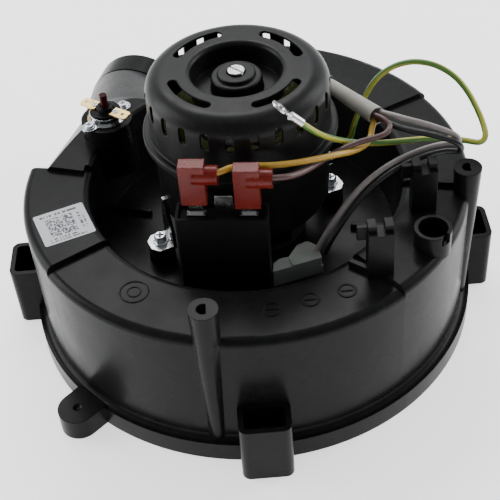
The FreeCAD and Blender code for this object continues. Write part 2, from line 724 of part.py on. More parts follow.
def build_cap():
    top, inner = d.cap_top, d.cap_radius - d.sheet_steel
    low = d.flange_middle
    t = d.sheet_steel
    body = turned("cap_blank", [
        (d.flange_radius, low), (d.flange_radius, low + 2, 1.0), (d.cap_radius, low + 2, 0.6),
        (d.cap_radius, top, d.cap_round), (d.recess_radius, top, 2.4),
        (d.recess_radius - 0.8, d.recess_floor), (d.hub_outer + 0.6, d.recess_floor),
        (d.hub_outer, d.hub_shoulder, 1.2),
        (d.hub_step, d.hub_shoulder), (d.hub_step, d.hub_crown, 0.8), (d.shaft_radius + 0.44, d.hub_crown),
        (d.shaft_radius + 0.44, 136), (d.bearing_radius, 136), (d.bearing_radius, 125.5), (10.5, 125.5),
        (10.5, d.recess_floor - t), (d.recess_radius + 0.6, d.recess_floor - t),
        (d.recess_radius + 1.4, top - t, 1.4), (inner, top - t, d.cap_round - t), (inner, low)])
    tools = [kidney(f"cap_slot_{i}", a, d.recess_floor + 2, 14) for i, a in enumerate(KIDNEYS)]
    tools += [vent(i) for i in range(24)]
    keep("motor_cap", cut("cap_pierced", body, *tools))


def build_base_shell():
    t, high = d.sheet_steel, d.flange_middle
    inner = d.motor_radius - t
    body = turned("base_blank", [
        (d.motor_radius, d.motor_base, d.base_round), (d.motor_radius, high - 2, 0.6),
        (d.flange_radius, high - 2, 1.0), (d.flange_radius, high), (inner, high),
        (inner, d.motor_base + t, d.base_round - t), (11.3, d.motor_base + t), (11.3, 74.5),
        (d.bearing_radius, 74.5), (d.bearing_radius, 64), (d.shaft_radius + 0.44, 64),
        (d.shaft_radius + 0.44, d.base_hub_bottom), (d.base_hub_radius, d.base_hub_bottom, 1.0),
        (d.base_hub_radius, d.motor_base)])
    tools = [kidney(f"base_slot_{i}", a + 45, d.motor_base - 2, 6) for i, a in enumerate(KIDNEYS)]
    keep("motor_base_shell", cut("base_pierced", body, *tools))


def build_stator():
    height = d.stator_top - d.stator_base
    bore, outer = d.stator_bore, d.motor_radius - d.sheet_steel
    core = ring("core_ring", outer, bore, d.stator_base, height)
    slots = []
    fills = []
    for i in range(8):
        angle = 45 * i + 22.5
        slots.append(radial_box(f"core_slot_{i}", bore - 2, d.coil_outer, 6.0, d.stator_base - 1, height + 2,
                                angle))
        fills.append(radial_box(f"coil_side_{i}", d.coil_inner, d.coil_outer - 0.3, 5.4, d.stator_base - 1,
                                height + 2, angle))
    keep("stator_core", cut("core_slotted", core, *slots))
    for name, low in (("coil_top", d.stator_top), ("coil_bottom", d.stator_base - d.coil_height)):
        fills.append(turned(name, [
            (d.coil_inner, low, 2.5), (d.coil_outer, low, 2.5), (d.coil_outer, low + d.coil_height, 4.0),
            (d.coil_inner, low + d.coil_height, 4.0)]))
    keep("stator_windings", fuse("windings", *fills))


SHAFT_SLOT_ANGLE = -44


def build_rotor():
    r = d.shaft_radius
    turn = math.radians(SHAFT_SLOT_ANGLE)
    corner = (0.5 * math.sin(turn) - 6 * math.cos(turn), -6 * math.sin(turn) - 0.5 * math.cos(turn))
    slot = box("shaft_slot", 12, 1.0, 3, *corner, d.shaft_top - 1.0, SHAFT_SLOT_ANGLE)
    rod = turned("shaft_rod", [(0, d.shaft_base), (r, d.shaft_base, 0.5), (r, d.shaft_top, 0.4),
                               (0, d.shaft_top)])
    keep("motor_shaft", cut("shaft_slotted", rod, slot))
    height = d.stator_top - d.stator_base
    keep("rotor_core", ring("rotor_stack", d.rotor_radius, r, d.stator_base, height))
    cage = []
    for name, low in (("cage_low", d.stator_base - d.cage_height), ("cage_top", d.stator_top)):
        cage.append(ring(name, d.rotor_radius - 0.5, 11, low, d.cage_height))
    keep("rotor_cage", group("cage_rings", *cage))
    washers = [ring(f"thrust_{i}", 6.4, r, low, 1.0) for i, low in enumerate((74.8, 124.0))]
    keep("thrust_washers", group("thrust_pair", *washers))
    hub = ring("fan_hub", 7.5, r, 50.0, 10.0)
    disc = ring("fan_disc", 30.0, 7.0, 50.0, 1.2)
    vanes = [radial_box(f"fan_vane_{i}", 7.0, 29.5, 1.4, 50.6, 8.0, 45 * i) for i in range(8)]
    keep("cooling_fan", fuse("fan_wheel", hub, disc, *vanes))


def build_bearings():
    bore = d.shaft_radius + 0.04
    keep("lower_bearing", ring("bearing_low", d.bearing_radius, bore, 64, d.bearing_height))
    keep("upper_bearing", ring("bearing_top", d.bearing_radius, bore, 127, d.bearing_height))
    rings = [ring("retainer_low", d.bearing_radius, 4.8, 73, 1.2), ring("retainer_top", d.bearing_radius, 4.8,
                                                                     125.8, 1.2)]
    keep("bearing_retainers", group("retainer_pair", *rings))
    keep("shaft_seal", ring("seal_ring", 14.0, d.shaft_radius + 0.44, d.floor_top, 1.4))


# ---------------------------------------------------------------- motor feet

def foot(angle):
    """Angled steel foot: a tapering leg against the shell and a chamfered tab over the grommet."""
    tag = f"foot_{angle % 360}"
    inner, outer = d.motor_radius, d.motor_radius + d.foot_steel
    tab_end = d.foot_circle + 6.0
    low, w = d.foot_tab_base, d.foot_width / 2
    tab = padded(tag + "_tab", [(inner, -w), (tab_end - 3, -w), (tab_end, -w + 3.5), (tab_end, w - 3.5),
                                (tab_end - 3, w), (inner, w)], d.foot_steel, 0, 0, low, angle)
    band = ring(tag + "_band", outer, inner, low, d.foot_tip - low)
    turn = FreeCAD.Rotation(Vector(0, 1, 0), 90)
    x, y = polar(d.motor_radius - 6, angle)
    rise = d.foot_tip - low
    blade = padded(tag + "_blade", [(0, -w), (0, w), (-rise * 0.35, w), (-rise, 1.2), (-rise, -1.2),
                                    (-rise * 0.35, -w)], 14, x, y, low, angle, turn)
    leg = common(tag + "_leg", band, blade)
    x, y = polar(d.foot_circle, angle)
    hole = cylinder(tag + "_hole", d.foot_screw_radius, 10, x, y, low - 4)
    clear = cylinder(tag + "_clear", inner, 60, 0, 0, low - 5)
    return cut(tag, fuse(tag + "_blank", tab, leg), hole, clear)


def build_feet():
    screws = []
    grommets = []
    for angle in FEET:
        x, y = polar(d.foot_circle, angle)
        tag = angle % 360
        base = d.boss_top
        sleeve = cylinder(f"grommet_body_{tag}", d.grommet_radius, d.foot_tab_base - base, x, y, base)
        bore = cylinder(f"grommet_bore_{tag}", d.foot_screw_radius, 20, x, y, base - 5)
        waist = cut(f"grommet_waist_{tag}", cylinder(f"waist_outer_{tag}", 9, 1.6, x, y, base + 1.7),
                    cylinder(f"waist_inner_{tag}", d.grommet_radius - 1.0, 4, x, y, base))
        grommets.append(cut(f"grommet_{tag}", sleeve, fuse(f"grommet_cuts_{tag}", bore, waist)))
        seat = d.foot_tab_base + d.foot_steel
        head = cylinder(f"foot_screw_head_{tag}", 2.9, 3.6, x, y, seat + 0.9)
        washer = cylinder(f"foot_washer_{tag}", 3.7, 0.9, x, y, seat)
        shank = cylinder(f"foot_shank_{tag}", d.foot_screw_radius, 12, x, y, seat - 11.4)
        screws.append(fuse(f"foot_screw_{tag}", head, washer, shank))
    keep("motor_feet", group("foot_set", *[foot(a) for a in FEET]))
    keep("foot_grommets", group("grommet_set", *grommets))
    keep("foot_screws", group("foot_screw_set", *screws))


# ---------------------------------------------------------------- run capacitor and its terminals

CASE_YAW = -7.0
CASE_SPOT = (-11.3, -54.1)
FLAGS = (("left", -11.3, 109.0), ("right", 12.1, 107.0))


def on_case(along, across):
    """Point in plan measured along and across the capacitor from its middle."""
    a = math.radians(CASE_YAW)
    along, across = as_dim(along), as_dim(across)
    return (CASE_SPOT[0] + along * math.cos(a) - across * math.sin(a),
            CASE_SPOT[1] + along * math.sin(a) + across * math.cos(a))


def case_box(name, width, depth, height, along, across, low):
    """A box on the capacitor's own axes, centred at (along, across)."""
    width, depth = as_dim(width), as_dim(depth)
    x, y = on_case(as_dim(along) - width / 2, as_dim(across) - depth / 2)
    return box(name, width, depth, height, x, y, low, CASE_YAW)


def case_barrel(name, radius, length, along, across, height):
    x, y = on_case(along, across)
    return cylinder(name, radius, length, x, y, height, CASE_YAW, FACING)


def build_capacitor():
    x, y = on_case(0, 0)
    block = padded("case_block", rounded_rect(d.case_width, d.case_depth, 1.6), d.case_top - d.case_base,
                   x, y, d.case_base, CASE_YAW)
    well = padded("case_well", rounded_rect(d.case_width - 2.8, d.case_depth - 2.8, 0.8), 6, x, y,
                  d.case_top - 2.2, CASE_YAW)
    keep("capacitor_case", cut("case_hollow", block, well))
    fill_low = d.case_top - 2.2
    blades = []
    receptacles = []
    covers = []
    for name, along, low in FLAGS:
        blade = case_box(f"blade_{name}", d.blade_width, d.blade_gauge, 13.5, along, 0.4, fill_low)
        foot_plate = case_box(f"blade_foot_{name}", 8.4, 3.4, 0.9, along, 0.4, fill_low)
        blades += [fuse(f"terminal_{name}", blade, foot_plate)]
        top = low + d.flag_height
        barrel_z = top - 6.4
        shell = case_box(f"flag_body_{name}", d.flag_width, d.flag_depth, d.flag_height, along, 0, low)
        hollow = case_box(f"flag_hollow_{name}", d.flag_width - d.flag_wall * 2,
                          d.flag_depth - d.flag_wall * 2, d.flag_height, along, 0, low - d.flag_wall)
        reach = d.flag_width / 2 + 5.6
        barrel = case_barrel(f"flag_barrel_{name}", d.barrel_radius, reach, along, 0, barrel_z)
        throat = case_barrel(f"flag_throat_{name}", 2.9, 30, along, 0, barrel_z)
        spread = case_box(f"flag_limit_{name}", 60, 20, 60, along + 30 - 4.0, 0, low - 20)
        covers.append(cut(f"flag_{name}", fuse(f"flag_solid_{name}", shell, common(f"flag_arm_{name}", barrel,
                      spread)), hollow, throat))
        sleeve = case_box(f"receptacle_body_{name}", 7.8, 2.6, 8.5, along, 0.4, low + 0.6)
        channel = case_box(f"receptacle_channel_{name}", d.blade_width, d.blade_gauge, 30, along, 0.4,
                           low - 10)
        neck = case_box(f"receptacle_neck_{name}", 4.6, 0.9, barrel_z - low - 8.0, along, 1.1, low + 8.6)
        crimp = case_barrel(f"receptacle_crimp_{name}", 1.9, 8.0, along - 1.0, 0, barrel_z)
        receptacles.append(fuse(f"receptacle_{name}", cut(f"receptacle_slotted_{name}", sleeve, channel),
                                neck, crimp))
    spare = case_box("blade_spare", 8.0, d.blade_gauge, d.spare_blade_top - fill_low, 1.1, 1.75, fill_low)
    keep("capacitor_blades", group("blade_set", *blades, spare))
    keep("flag_receptacles", group("receptacle_pair", *receptacles))
    keep("flag_insulators", group("flag_pair", *covers))
    build_bracket()


def build_bracket():
    """Steel bracket behind the capacitor: a back plate with a foot on the floor and two side fingers."""
    t = 1.2
    back = d.case_depth / 2
    plate = case_box("bracket_back", 30, t, 54, -2, back + t / 2, d.floor_top + 1.2)
    base = case_box("bracket_base", 30, d.case_depth + t, 1.2, -2, t / 2, d.floor_top)
    keep("capacitor_bracket", fuse("bracket", plate, base))
    x, y = on_case(0, 0)
    seat = padded("case_pad_blank", rounded_rect(d.case_width - 8, d.case_depth - 1, 1.0),
                  d.case_base - d.floor_top - 1.2, x, y, d.floor_top + 1.2, CASE_YAW)
    keep("capacitor_pad", seat)


# ---------------------------------------------------------------- thermal limit switch

def build_switch():
    x, y = switch_spot()
    top = d.pad_top
    along = math.radians(SWITCH_YAW)
    plate = [cylinder("flange_disc", d.switch_flange_radius - 2.6, 0.8, x, y, top)]
    for side in (-1, 1):
        px, py = switch_screw_spot(side)
        plate.append(cylinder(f"flange_ear_{side + 1}", 3.8, 0.8, px, py, top))
        plate.append(box(f"flange_web_{side + 1}", 7.0, 7.6, 0.8,
                         x + (7.9 * side - 3.5) * math.cos(along) + 3.8 * math.sin(along),
                         y + (7.9 * side - 3.5) * math.sin(along) - 3.8 * math.cos(along), top, SWITCH_YAW))
    can = cylinder("switch_can", d.switch_can_radius, 14.0 + d.switch_cup, x, y, top - 14.0)
    holes = [cylinder("can_hollow", d.switch_can_radius - 0.6, 14.2 + d.switch_cup, x, y, top - 13.4)]
    for side in (-1, 1):
        px, py = switch_screw_spot(side)
        holes.append(cylinder(f"flange_hole_{side + 1}", d.small_screw_radius, 4, px, py, top - 1))
    keep("switch_flange", cut("flange_pierced", fuse("flange_blank", can, *plate), *holes))
    shoulder = d.switch_body_top - 2.5
    body = turned("switch_case", [
        (d.button_radius + 0.5, top - 6), (d.switch_can_radius - 0.6, top - 6),
        (d.switch_can_radius - 0.6, top + 2.0), (d.switch_body_radius, top + 2.0),
        (d.switch_body_radius, shoulder), (4.6, shoulder, 0.6), (4.2, d.switch_body_top, 0.5),
        (d.button_radius + 0.5, d.switch_body_top)])
    place(body, x, y, 0)
    arms = []
    tabs = []
    rest = shoulder
    for i, yaw in enumerate(SWITCH_BLADE_YAWS):
        ax, ay = math.cos(math.radians(yaw)), math.sin(math.radians(yaw))
        tabs.append(padded(f"switch_tab_{i}", [(4.7, -3.15), (13.2, -3.15), (14.2, -2.2), (14.2, 2.2),
                                               (13.2, 3.15), (4.7, 3.15)], 0.8, x, y, rest, yaw))
        arms.append(cylinder(f"tab_hole_{i}", 0.9, 4, x + 11.0 * ax, y + 11.0 * ay, rest - 1))
    keep("switch_body", body)
    tab_holes = fuse("tab_holes", *arms)
    keep("switch_blades", cut("switch_tabs", group("tab_pair", *tabs), tab_holes))
    stem = cylinder("button_stem", d.button_radius, d.button_top - 97.0, x, y, 97.0)
    collar = cylinder("button_collar", d.button_radius + 0.15, 1.2, x, y, 97.0)
    keep("reset_button", fuse("button", stem, collar))
    screws = []
    for side in (-1, 1):
        px, py = switch_screw_spot(side)
        screws.append(screw(f"switch_screw_{side + 1}", 2.7, 1.7, d.small_screw_radius, 7.0, px, py,
                            top + 0.8))
    keep("switch_screws", group("switch_screw_pair", *screws))


# ---------------------------------------------------------------- label

def build_label():
    keep("rating_label", padded("label_sheet", rounded_rect(24.6, 23.0, 1.0), 0.15, -86.8, -27.2,
                                d.deck_left, 20.5))


# ---------------------------------------------------------------- leads

# Each lead's route, from the end at the motor's sleeve (or the ring terminal) to its far end.
LEADS = {
    "lead_yellow": [
        (58.7, -1.8, 110.2), (62.3, -9.1, 111.5), (60.5, -12.3, 109.5), (59.5, -16.5, 107.5),
        (55.8, -22.3, 107.2), (49.4, -27.6, 108.8), (41.8, -35, 114), (32.3, -40.5, 117), (22.7, -45, 119.3),
        (12.5, -48.4, 121.8), (3.6, -49.4, 123.4), (-5.2, -49.6, 124), (-10.9, -53, 123.8),
        (-17.4, -53.4, 123.6)],
    "lead_brown": [
        (58.4, -1.3, 113.2), (62, -8.7, 114.5), (66, -12.3, 114.3), (68.7, -16.3, 113), (66, -20.6, 112),
        (60, -22.6, 111.8), (53.4, -24.5, 111.8), (46.8, -27, 111.4), (39.3, -31, 110.8), (31, -40.7, 113.2),
        (23.5, -50.4, 117.4), (16.6, -56.2, 120.9), (7.4, -56.4, 121.6)],
    "lead_white": [
        (61.2, 0.1, 113.2), (64.7, -7, 114.5), (70, -10.5, 114.8), (77, -15, 114.8), (84.8, -18.5, 114),
        (91.6, -21.8, 112.8), (98.1, -25.5, 111.2), (99.2, -23.4, 105), (93.5, -21.7, 104.4),
        (86.2, -21.9, 103.4), (77.7, -23.1, 101.4), (69.2, -25, 98.8), (60.9, -28.3, 95.8),
        (53, -32.6, 91.8), (45.5, -37.9, 86.8), (38.8, -43.2, 80.5), (33.6, -46.2, 73.5),
        (31, -46.2, 66.8)],
    "lead_black": [
        (61.4, -0.4, 110.3), (64.9, -7.6, 111.4), (69.9, -13.3, 110.8), (77, -18.4, 111.2),
        (85, -22, 111.2), (92, -25.2, 110.6), (98.6, -29, 109.6), (99.9, -27.2, 103.4),
        (94.3, -24.9, 103), (87, -24.8, 102), (78.6, -25.8, 100), (70.2, -27.6, 97.2), (62.3, -30.7, 94),
        (54.7, -34.8, 90), (47.5, -39.9, 85), (41.1, -45, 78.7), (36.2, -47.9, 72), (34.3, -48.2, 66.8)],
    "lead_ground": [
        (24.9, -41.9, 139.3), (28.2, -41.7, 136), (32, -37.6, 129.6), (37.3, -32.3, 122.3),
        (44.8, -23.9, 113), (51.5, -17.8, 106.4), (58.5, -15, 103), (66.1, -14.2, 101.8),
        (76.7, -12.1, 100.5), (87.5, -10, 99), (98, -10.1, 98), (105.6, -12.2, 97.6), (111.5, -15.5, 98),
        (114, -14.5, 101), (113.6, -8.9, 104), (111.6, -2.9, 108.5), (108.1, 4.3, 114),
        (102.8, 10.6, 119), (95, 15.3, 122.5), (86.3, 17.7, 124), (78.4, 18.6, 123), (71.1, 17.5, 120.5),
        (65.2, 15.7, 116), (60.9, 14.6, 108.5), (57.5, 12.3, 101), (55.1, 10.6, 95), (53.6, 10.2, 87.5),
        (50.5, 10, 80.5), (43.8, 9, 77)],
}


def tangent_route(points):
    """Straight runs joined by tangent arcs, as a wire, with the radii that it used."""
    spots = [Vector(*p) for p in points]
    edges = []
    radii = []
    start = spots[0]
    for before, corner, after in zip(spots, spots[1:], spots[2:]):
        back, ahead = before - corner, after - corner
        half_turn = (math.pi - back.getAngle(ahead)) / 2
        shorter = min(back.Length, ahead.Length)
        radius = 0.45 * shorter / math.tan(half_turn)
        reach = radius * math.tan(half_turn)
        back.normalize()
        ahead.normalize()
        first, last = corner + back * reach, corner + ahead * reach
        inward = (back + ahead).normalize()
        middle = corner + inward * (radius / math.cos(half_turn) - radius)
        edges.append(Part.LineSegment(start, first).toShape())
        edges.append(Part.Arc(first, middle, last).toShape())
        radii.append(radius)
        start = last
    edges.append(Part.LineSegment(start, spots[-1]).toShape())
    return Part.Wire(edges), radii


def lead(name, points):
    wire, radii = tangent_route(points)
    radius = float(sheet.get("lead_radius"))
    heading = (Vector(*points[1]) - Vector(*points[0])).normalize()
    section = Part.Wire([Part.Circle(Vector(*points[0]), heading, radius).toShape()])
    tube = wire.makePipeShell([section], True, False)
    solid = Part.Solid(tube) if tube.ShapeType == "Shell" else tube
    item = doc.addObject("Part::Feature", name)
    item.Shape = solid
    item.Placement = FreeCAD.Placement()
    ratio = item.Shape.Volume / (wire.Length * math.pi * radius ** 2)
    print(f"{name}: length {wire.Length:.1f} mm, radii {min(radii):.1f} to {max(radii):.0f} mm, "
          f"volume to section times length {ratio:.4f}")
    return keep(name, item)


def between(start, end):
    """Rotation that turns +Z onto the line from start to end."""
    return FreeCAD.Rotation(Vector(0, 0, 1), Vector(*end) - Vector(*start))


SLEEVE = ((47.1, 25.3, 107.0), (63.4, -7.9, 113.0))
TERMINAL = (16.9, -42.4, 147.3)
TERMINAL_AXIS = Vector(0.707, 0.045, -0.707)
TERMINAL_FACE = Vector(0.686, 0.203, 0.699)
CONNECTOR = (5.3, -59.3)
CONNECTOR_YAW = 15.3


def build_sleeve():
    start, end = SLEEVE
    run = Vector(*end) - Vector(*start)
    turn = between(start, end)
    extra = 8.0
    root = Vector(*start) - run * (extra / run.Length)
    length = run.Length + extra
    outer = cone("sleeve_outer", d.sleeve_root, d.sleeve_mouth, length, *root, 0, turn)
    inner = cone("sleeve_inner", d.sleeve_root - d.sleeve_wall, d.sleeve_mouth - d.sleeve_wall, length,
                 *root, 0, turn)
    keep("lead_sleeve", cut("sleeve", outer, inner))
    hub = cylinder("boot_collar", 4.4, 9, *(root - run * (6 / run.Length)), 0, turn)
    yaw = 47.0
    x, y = polar(d.motor_radius - 1, yaw)
    block = radial_box("boot_block", d.motor_radius - 0.5, 54.0, 12.0, 97.0, 9.6, yaw)
    wall = cylinder("boot_shell_room", d.motor_radius, 40, 0, 0, 90)
    throat = cylinder("boot_throat", d.sleeve_root, 30, *root, 0, turn)
    keep("lead_boot", cut("boot", fuse("boot_blank", block, hub), wall, throat))


def build_terminal():
    turn = FreeCAD.Rotation(TERMINAL_AXIS, Vector(), TERMINAL_FACE, "ZXY")
    tongue = padded("terminal_tongue", rounded_rect(6.5, 3.2, 0.8, 4.6, 0), 0.9, *TERMINAL, 0, turn)
    eye = cylinder("terminal_eye", 4.1, 0.9, *TERMINAL, 0, turn)
    hole = cylinder("terminal_hole", 2.3, 6, *(Vector(*TERMINAL) - TERMINAL_FACE * 2), 0, turn)
    start = Vector(*TERMINAL) + TERMINAL_AXIS * 6.4
    tube = cylinder("terminal_barrel", 2.0, 6.6, *start, 0, between((0, 0, 0), TERMINAL_AXIS))
    seat = cylinder("terminal_seat", d.lead_radius, 20, *(Vector(*TERMINAL) + TERMINAL_AXIS * 11.3), 0,
                    between((0, 0, 0), TERMINAL_AXIS))
    keep("ring_terminal", cut("terminal", fuse("terminal_blank", tongue, eye, tube), hole, seat))


def build_connector():
    x, y = CONNECTOR
    low = 57.5
    lobe_a = padded("connector_low", [(1.5, 0), (18, 0), (18, 6.5, 2.0), (10, 7.0, 3.0), (4.5, 4.5, 3.0)],
                    9.5, x, y, low, CONNECTOR_YAW)
    lobe_b = padded("connector_high", [(14, 0), (28.5, 0, 1.0), (29, 8.5, 3.0), (26, 13.0, 2.0),
                                       (20.5, 12.2, 2.5), (14, 6.0)], 10, x, y, low, CONNECTOR_YAW)
    lip = padded("connector_lip", [(0, 0), (29, 0), (29, 2.4), (0, 2.4)], 4.5, x, y, low, CONNECTOR_YAW)
    beside = case_box("connector_clearance", d.case_width + 1, d.case_depth + 1, 30, 0, 0, low - 10)
    keep("lead_connector", cut("connector", fuse("connector_blank", lobe_a, lobe_b, lip), beside))


def build_ground_lug():
    angle = 11.5
    x, y = polar(d.motor_radius - 0.5, angle)
    keep("ground_lug", cylinder("ground_pad", 3.2, 3.4, x, y, 77, angle, FACING))


def export_all():
    doc.recompute()
    faults = [o.Name for o in doc.Objects if "Invalid" in o.State or "Error" in o.State]
    if faults:
        raise RuntimeError("objects with errors: " + ", ".join(faults))
    for label, item in nodes.items():
        if item.Shape.isNull() or not item.Shape.isValid():
            raise RuntimeError("bad shape: " + label)
    os.makedirs("parts", exist_ok=True)
    for label, item in nodes.items():
        item.Shape.exportStep(f"parts/{label}.step")
        print(f"{label}: {len(item.Shape.Solids)} solid(s), {item.Shape.Volume:.0f} mm3")


keep("volute_housing", build_housing())
build_inlet_side()
build_wheel()
build_cap()
build_base_shell()
build_stator()
build_rotor()
build_bearings()
build_feet()
build_capacitor()
build_switch()
build_label()
build_sleeve()
build_terminal()
build_connector()
build_ground_lug()
for lead_name, lead_route in LEADS.items():
    lead(lead_name, lead_route)
export_all()
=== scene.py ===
import json
import math
import random

import bpy
from mathutils import Matrix, Vector


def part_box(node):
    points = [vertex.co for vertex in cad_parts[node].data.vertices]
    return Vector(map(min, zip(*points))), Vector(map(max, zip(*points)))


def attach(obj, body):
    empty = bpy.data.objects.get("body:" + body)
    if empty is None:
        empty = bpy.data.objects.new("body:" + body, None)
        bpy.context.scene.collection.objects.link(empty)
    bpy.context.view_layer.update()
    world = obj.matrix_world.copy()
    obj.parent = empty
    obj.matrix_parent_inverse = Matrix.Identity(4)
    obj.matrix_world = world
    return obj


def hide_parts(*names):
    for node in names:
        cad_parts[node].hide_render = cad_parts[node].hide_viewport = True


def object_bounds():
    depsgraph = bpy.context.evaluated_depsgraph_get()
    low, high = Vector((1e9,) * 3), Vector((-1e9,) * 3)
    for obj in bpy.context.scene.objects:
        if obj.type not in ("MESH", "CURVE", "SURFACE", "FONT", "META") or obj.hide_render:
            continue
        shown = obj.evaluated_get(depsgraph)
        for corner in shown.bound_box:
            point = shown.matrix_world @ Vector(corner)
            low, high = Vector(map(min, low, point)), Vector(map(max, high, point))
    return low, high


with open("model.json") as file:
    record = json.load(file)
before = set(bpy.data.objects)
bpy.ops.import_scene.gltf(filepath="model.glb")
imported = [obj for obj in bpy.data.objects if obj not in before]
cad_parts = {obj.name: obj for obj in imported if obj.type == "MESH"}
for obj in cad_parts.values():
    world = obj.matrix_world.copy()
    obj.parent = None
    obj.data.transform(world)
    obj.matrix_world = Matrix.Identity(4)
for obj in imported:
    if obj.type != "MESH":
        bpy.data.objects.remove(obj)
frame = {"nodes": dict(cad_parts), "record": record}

# Looks of the combustion fan, in metres and in the CAD frame: +Z up, origin on the motor axis at the
# underside of the rim.

MM = 0.001
CAD_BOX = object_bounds()
NODES = frame["nodes"]
random.seed(11)


# ---------------------------------------------------------------- camera

CAMERA_SPOT = Vector((-0.0003, -0.4209, 0.4263))
CAMERA_TILT = math.radians(43.51)
CAMERA_ROLL = math.radians(4.68)
CAMERA_LENS = 80.0
SENSOR = 36.0


def make_camera():
    lens = bpy.data.cameras.new("camera")
    lens.lens = CAMERA_LENS
    lens.sensor_width = SENSOR
    camera = bpy.data.objects.new("camera", lens)
    bpy.context.scene.collection.objects.link(camera)
    ahead = Vector((0, math.cos(CAMERA_TILT), -math.sin(CAMERA_TILT)))
    right = Vector((1, 0, 0))
    up = right.cross(ahead)
    turn = Matrix.Rotation(CAMERA_ROLL, 3, ahead)
    right, up = turn @ right, turn @ up
    axes = Matrix((right, up, -ahead)).transposed().to_4x4()
    camera.matrix_world = Matrix.Translation(CAMERA_SPOT) @ axes
    bpy.context.scene.camera = camera


# ---------------------------------------------------------------- materials

class Finish:
    """A procedural material, built up around one Principled shader."""

    def __init__(self, name, colour, rough, metal=0.0):
        self.name = name
        self.material = bpy.data.materials.new(name)
        self.material.use_nodes = True
        self.tree = self.material.node_tree
        self.shader = self.tree.nodes["Principled BSDF"]
        self.shader.inputs["Base Color"].default_value = (*colour, 1)
        self.shader.inputs["Roughness"].default_value = rough
        self.shader.inputs["Metallic"].default_value = metal
        self.colour = (*colour, 1)
        self.rough = rough
        self.place = self.node("ShaderNodeTexCoord").outputs["Object"]
        self.normal = None

    def node(self, kind, **settings):
        made = self.tree.nodes.new(kind)
        for key, value in settings.items():
            setattr(made, key, value)
        return made

    def join(self, source, target):
        self.tree.links.new(source, target)

    def feed(self, value, target):
        """Joins a socket to the target, or sets the target to a plain value."""
        if hasattr(value, "is_linked"):
            self.join(value, target)
        else:
            target.default_value = value

    def stretched(self, scale):
        """The object's own coordinates, stretched along each axis."""
        mapping = self.node("ShaderNodeMapping")
        mapping.inputs["Scale"].default_value = scale
        self.join(self.place, mapping.inputs["Vector"])
        return mapping.outputs["Vector"]

    def noise(self, scale, detail=3.0, stretch=None):
        made = self.node("ShaderNodeTexNoise")
        made.inputs["Scale"].default_value = scale
        made.inputs["Detail"].default_value = detail
        self.join(self.stretched(stretch) if stretch else self.place, made.inputs["Vector"])
        return made.outputs["Fac"]

    def cells(self, scale, output="Color"):
        made = self.node("ShaderNodeTexVoronoi")
        made.inputs["Scale"].default_value = scale
        self.join(self.place, made.inputs["Vector"])
        return made.outputs[output]

    def bands(self, scale):
        """Level bands, one above the other."""
        made = self.node("ShaderNodeTexWave", wave_type="BANDS", bands_direction="Z")
        made.inputs["Scale"].default_value = scale
        made.inputs["Distortion"].default_value = 0
        self.join(self.place, made.inputs["Vector"])
        return made.outputs["Fac"]

    def spread(self, source, low, high, start=0.3, end=0.7):
        """Maps a texture's middle range onto low to high."""
        made = self.node("ShaderNodeMapRange")
        made.inputs["From Min"].default_value = start
        made.inputs["From Max"].default_value = end
        made.inputs["To Min"].default_value = low
        made.inputs["To Max"].default_value = high
        self.join(source, made.inputs["Value"])
        return made.outputs["Result"]

    def mix(self, amount, first, second):
        made = self.node("ShaderNodeMix", data_type="RGBA")
        self.join(amount, made.inputs["Factor"])
        for colour, target in ((first, made.inputs["A"]), (second, made.inputs["B"])):
            target.default_value = (*colour, 1)
        return made.outputs["Result"]

    def vary_rough(self, scale, swing, detail=4.0, stretch=None):
        rough = self.spread(self.noise(scale, detail, stretch), self.rough - swing, self.rough + swing)
        self.join(rough, self.shader.inputs["Roughness"])
        return self

    def tint(self, source, other, start=0.3, end=0.7):
        """Blends the base colour towards another one where the texture is strong."""
        amount = self.spread(source, 0, 1, start, end)
        self.join(self.mix(amount, self.colour[:3], other), self.shader.inputs["Base Color"])
        return self

    def rounded(self, radius):
        """Catches light along edges, as small moulded or pressed corners do."""
        self.normal = self.node("ShaderNodeBevel", samples=4)
        self.normal.inputs["Radius"].default_value = radius
        self.join(self.normal.outputs["Normal"], self.shader.inputs["Normal"])
        return self

    def bump(self, source, depth, strength=1.0):
        made = self.node("ShaderNodeBump")
        made.inputs["Distance"].default_value = depth
        made.inputs["Strength"].default_value = strength
        self.join(source, made.inputs["Height"])
        if self.normal:
            self.join(self.normal.outputs["Normal"], made.inputs["Normal"])
        self.join(made.outputs["Normal"], self.shader.inputs["Normal"])
        self.normal = made
        return self

    def setting(self, **values):
        for key, value in values.items():
            self.shader.inputs[key.replace("_", " ")].default_value = value
        return self


def moulding(name, colour, rough, grain=900, depth=0.00002, edge=0.0006):
    """Moulded plastic: fine grain, slow waviness and faint rub marks."""
    finish = Finish(name, colour, rough)
    finish.rounded(edge)
    finish.bump(finish.noise(38, 2), 0.0002, 0.25)
    finish.bump(finish.noise(grain, 5), depth)
    finish.vary_rough(55, 0.05)
    finish.setting(Specular_IOR_Level=0.08)
    lighter = [c * 1.5 + 0.001 for c in colour]
    return finish.tint(finish.noise(240, 6), lighter, 0.45, 0.85)


def metal(name, colour, rough, stretch=(1, 1, 1), scale=700, edge=0.0003, other=None):
    """Bare or plated metal with drawn or brushed marks along the stretched axes."""
    finish = Finish(name, colour, rough, 1.0)
    finish.rounded(edge)
    finish.bump(finish.noise(scale, 4, stretch), 0.00002, 0.5)
    finish.vary_rough(scale * 0.4, rough * 0.35, 4, stretch)
    return finish.tint(finish.noise(160, 4), other or [c * 0.8 for c in colour])


def rubber(name, colour, rough=0.75):
    finish = Finish(name, colour, rough)
    finish.rounded(0.0005)
    finish.bump(finish.noise(1500, 4), 0.00004)
    finish.vary_rough(300, 0.1)
    return finish.tint(finish.noise(90, 4), [c * 1.8 for c in colour])


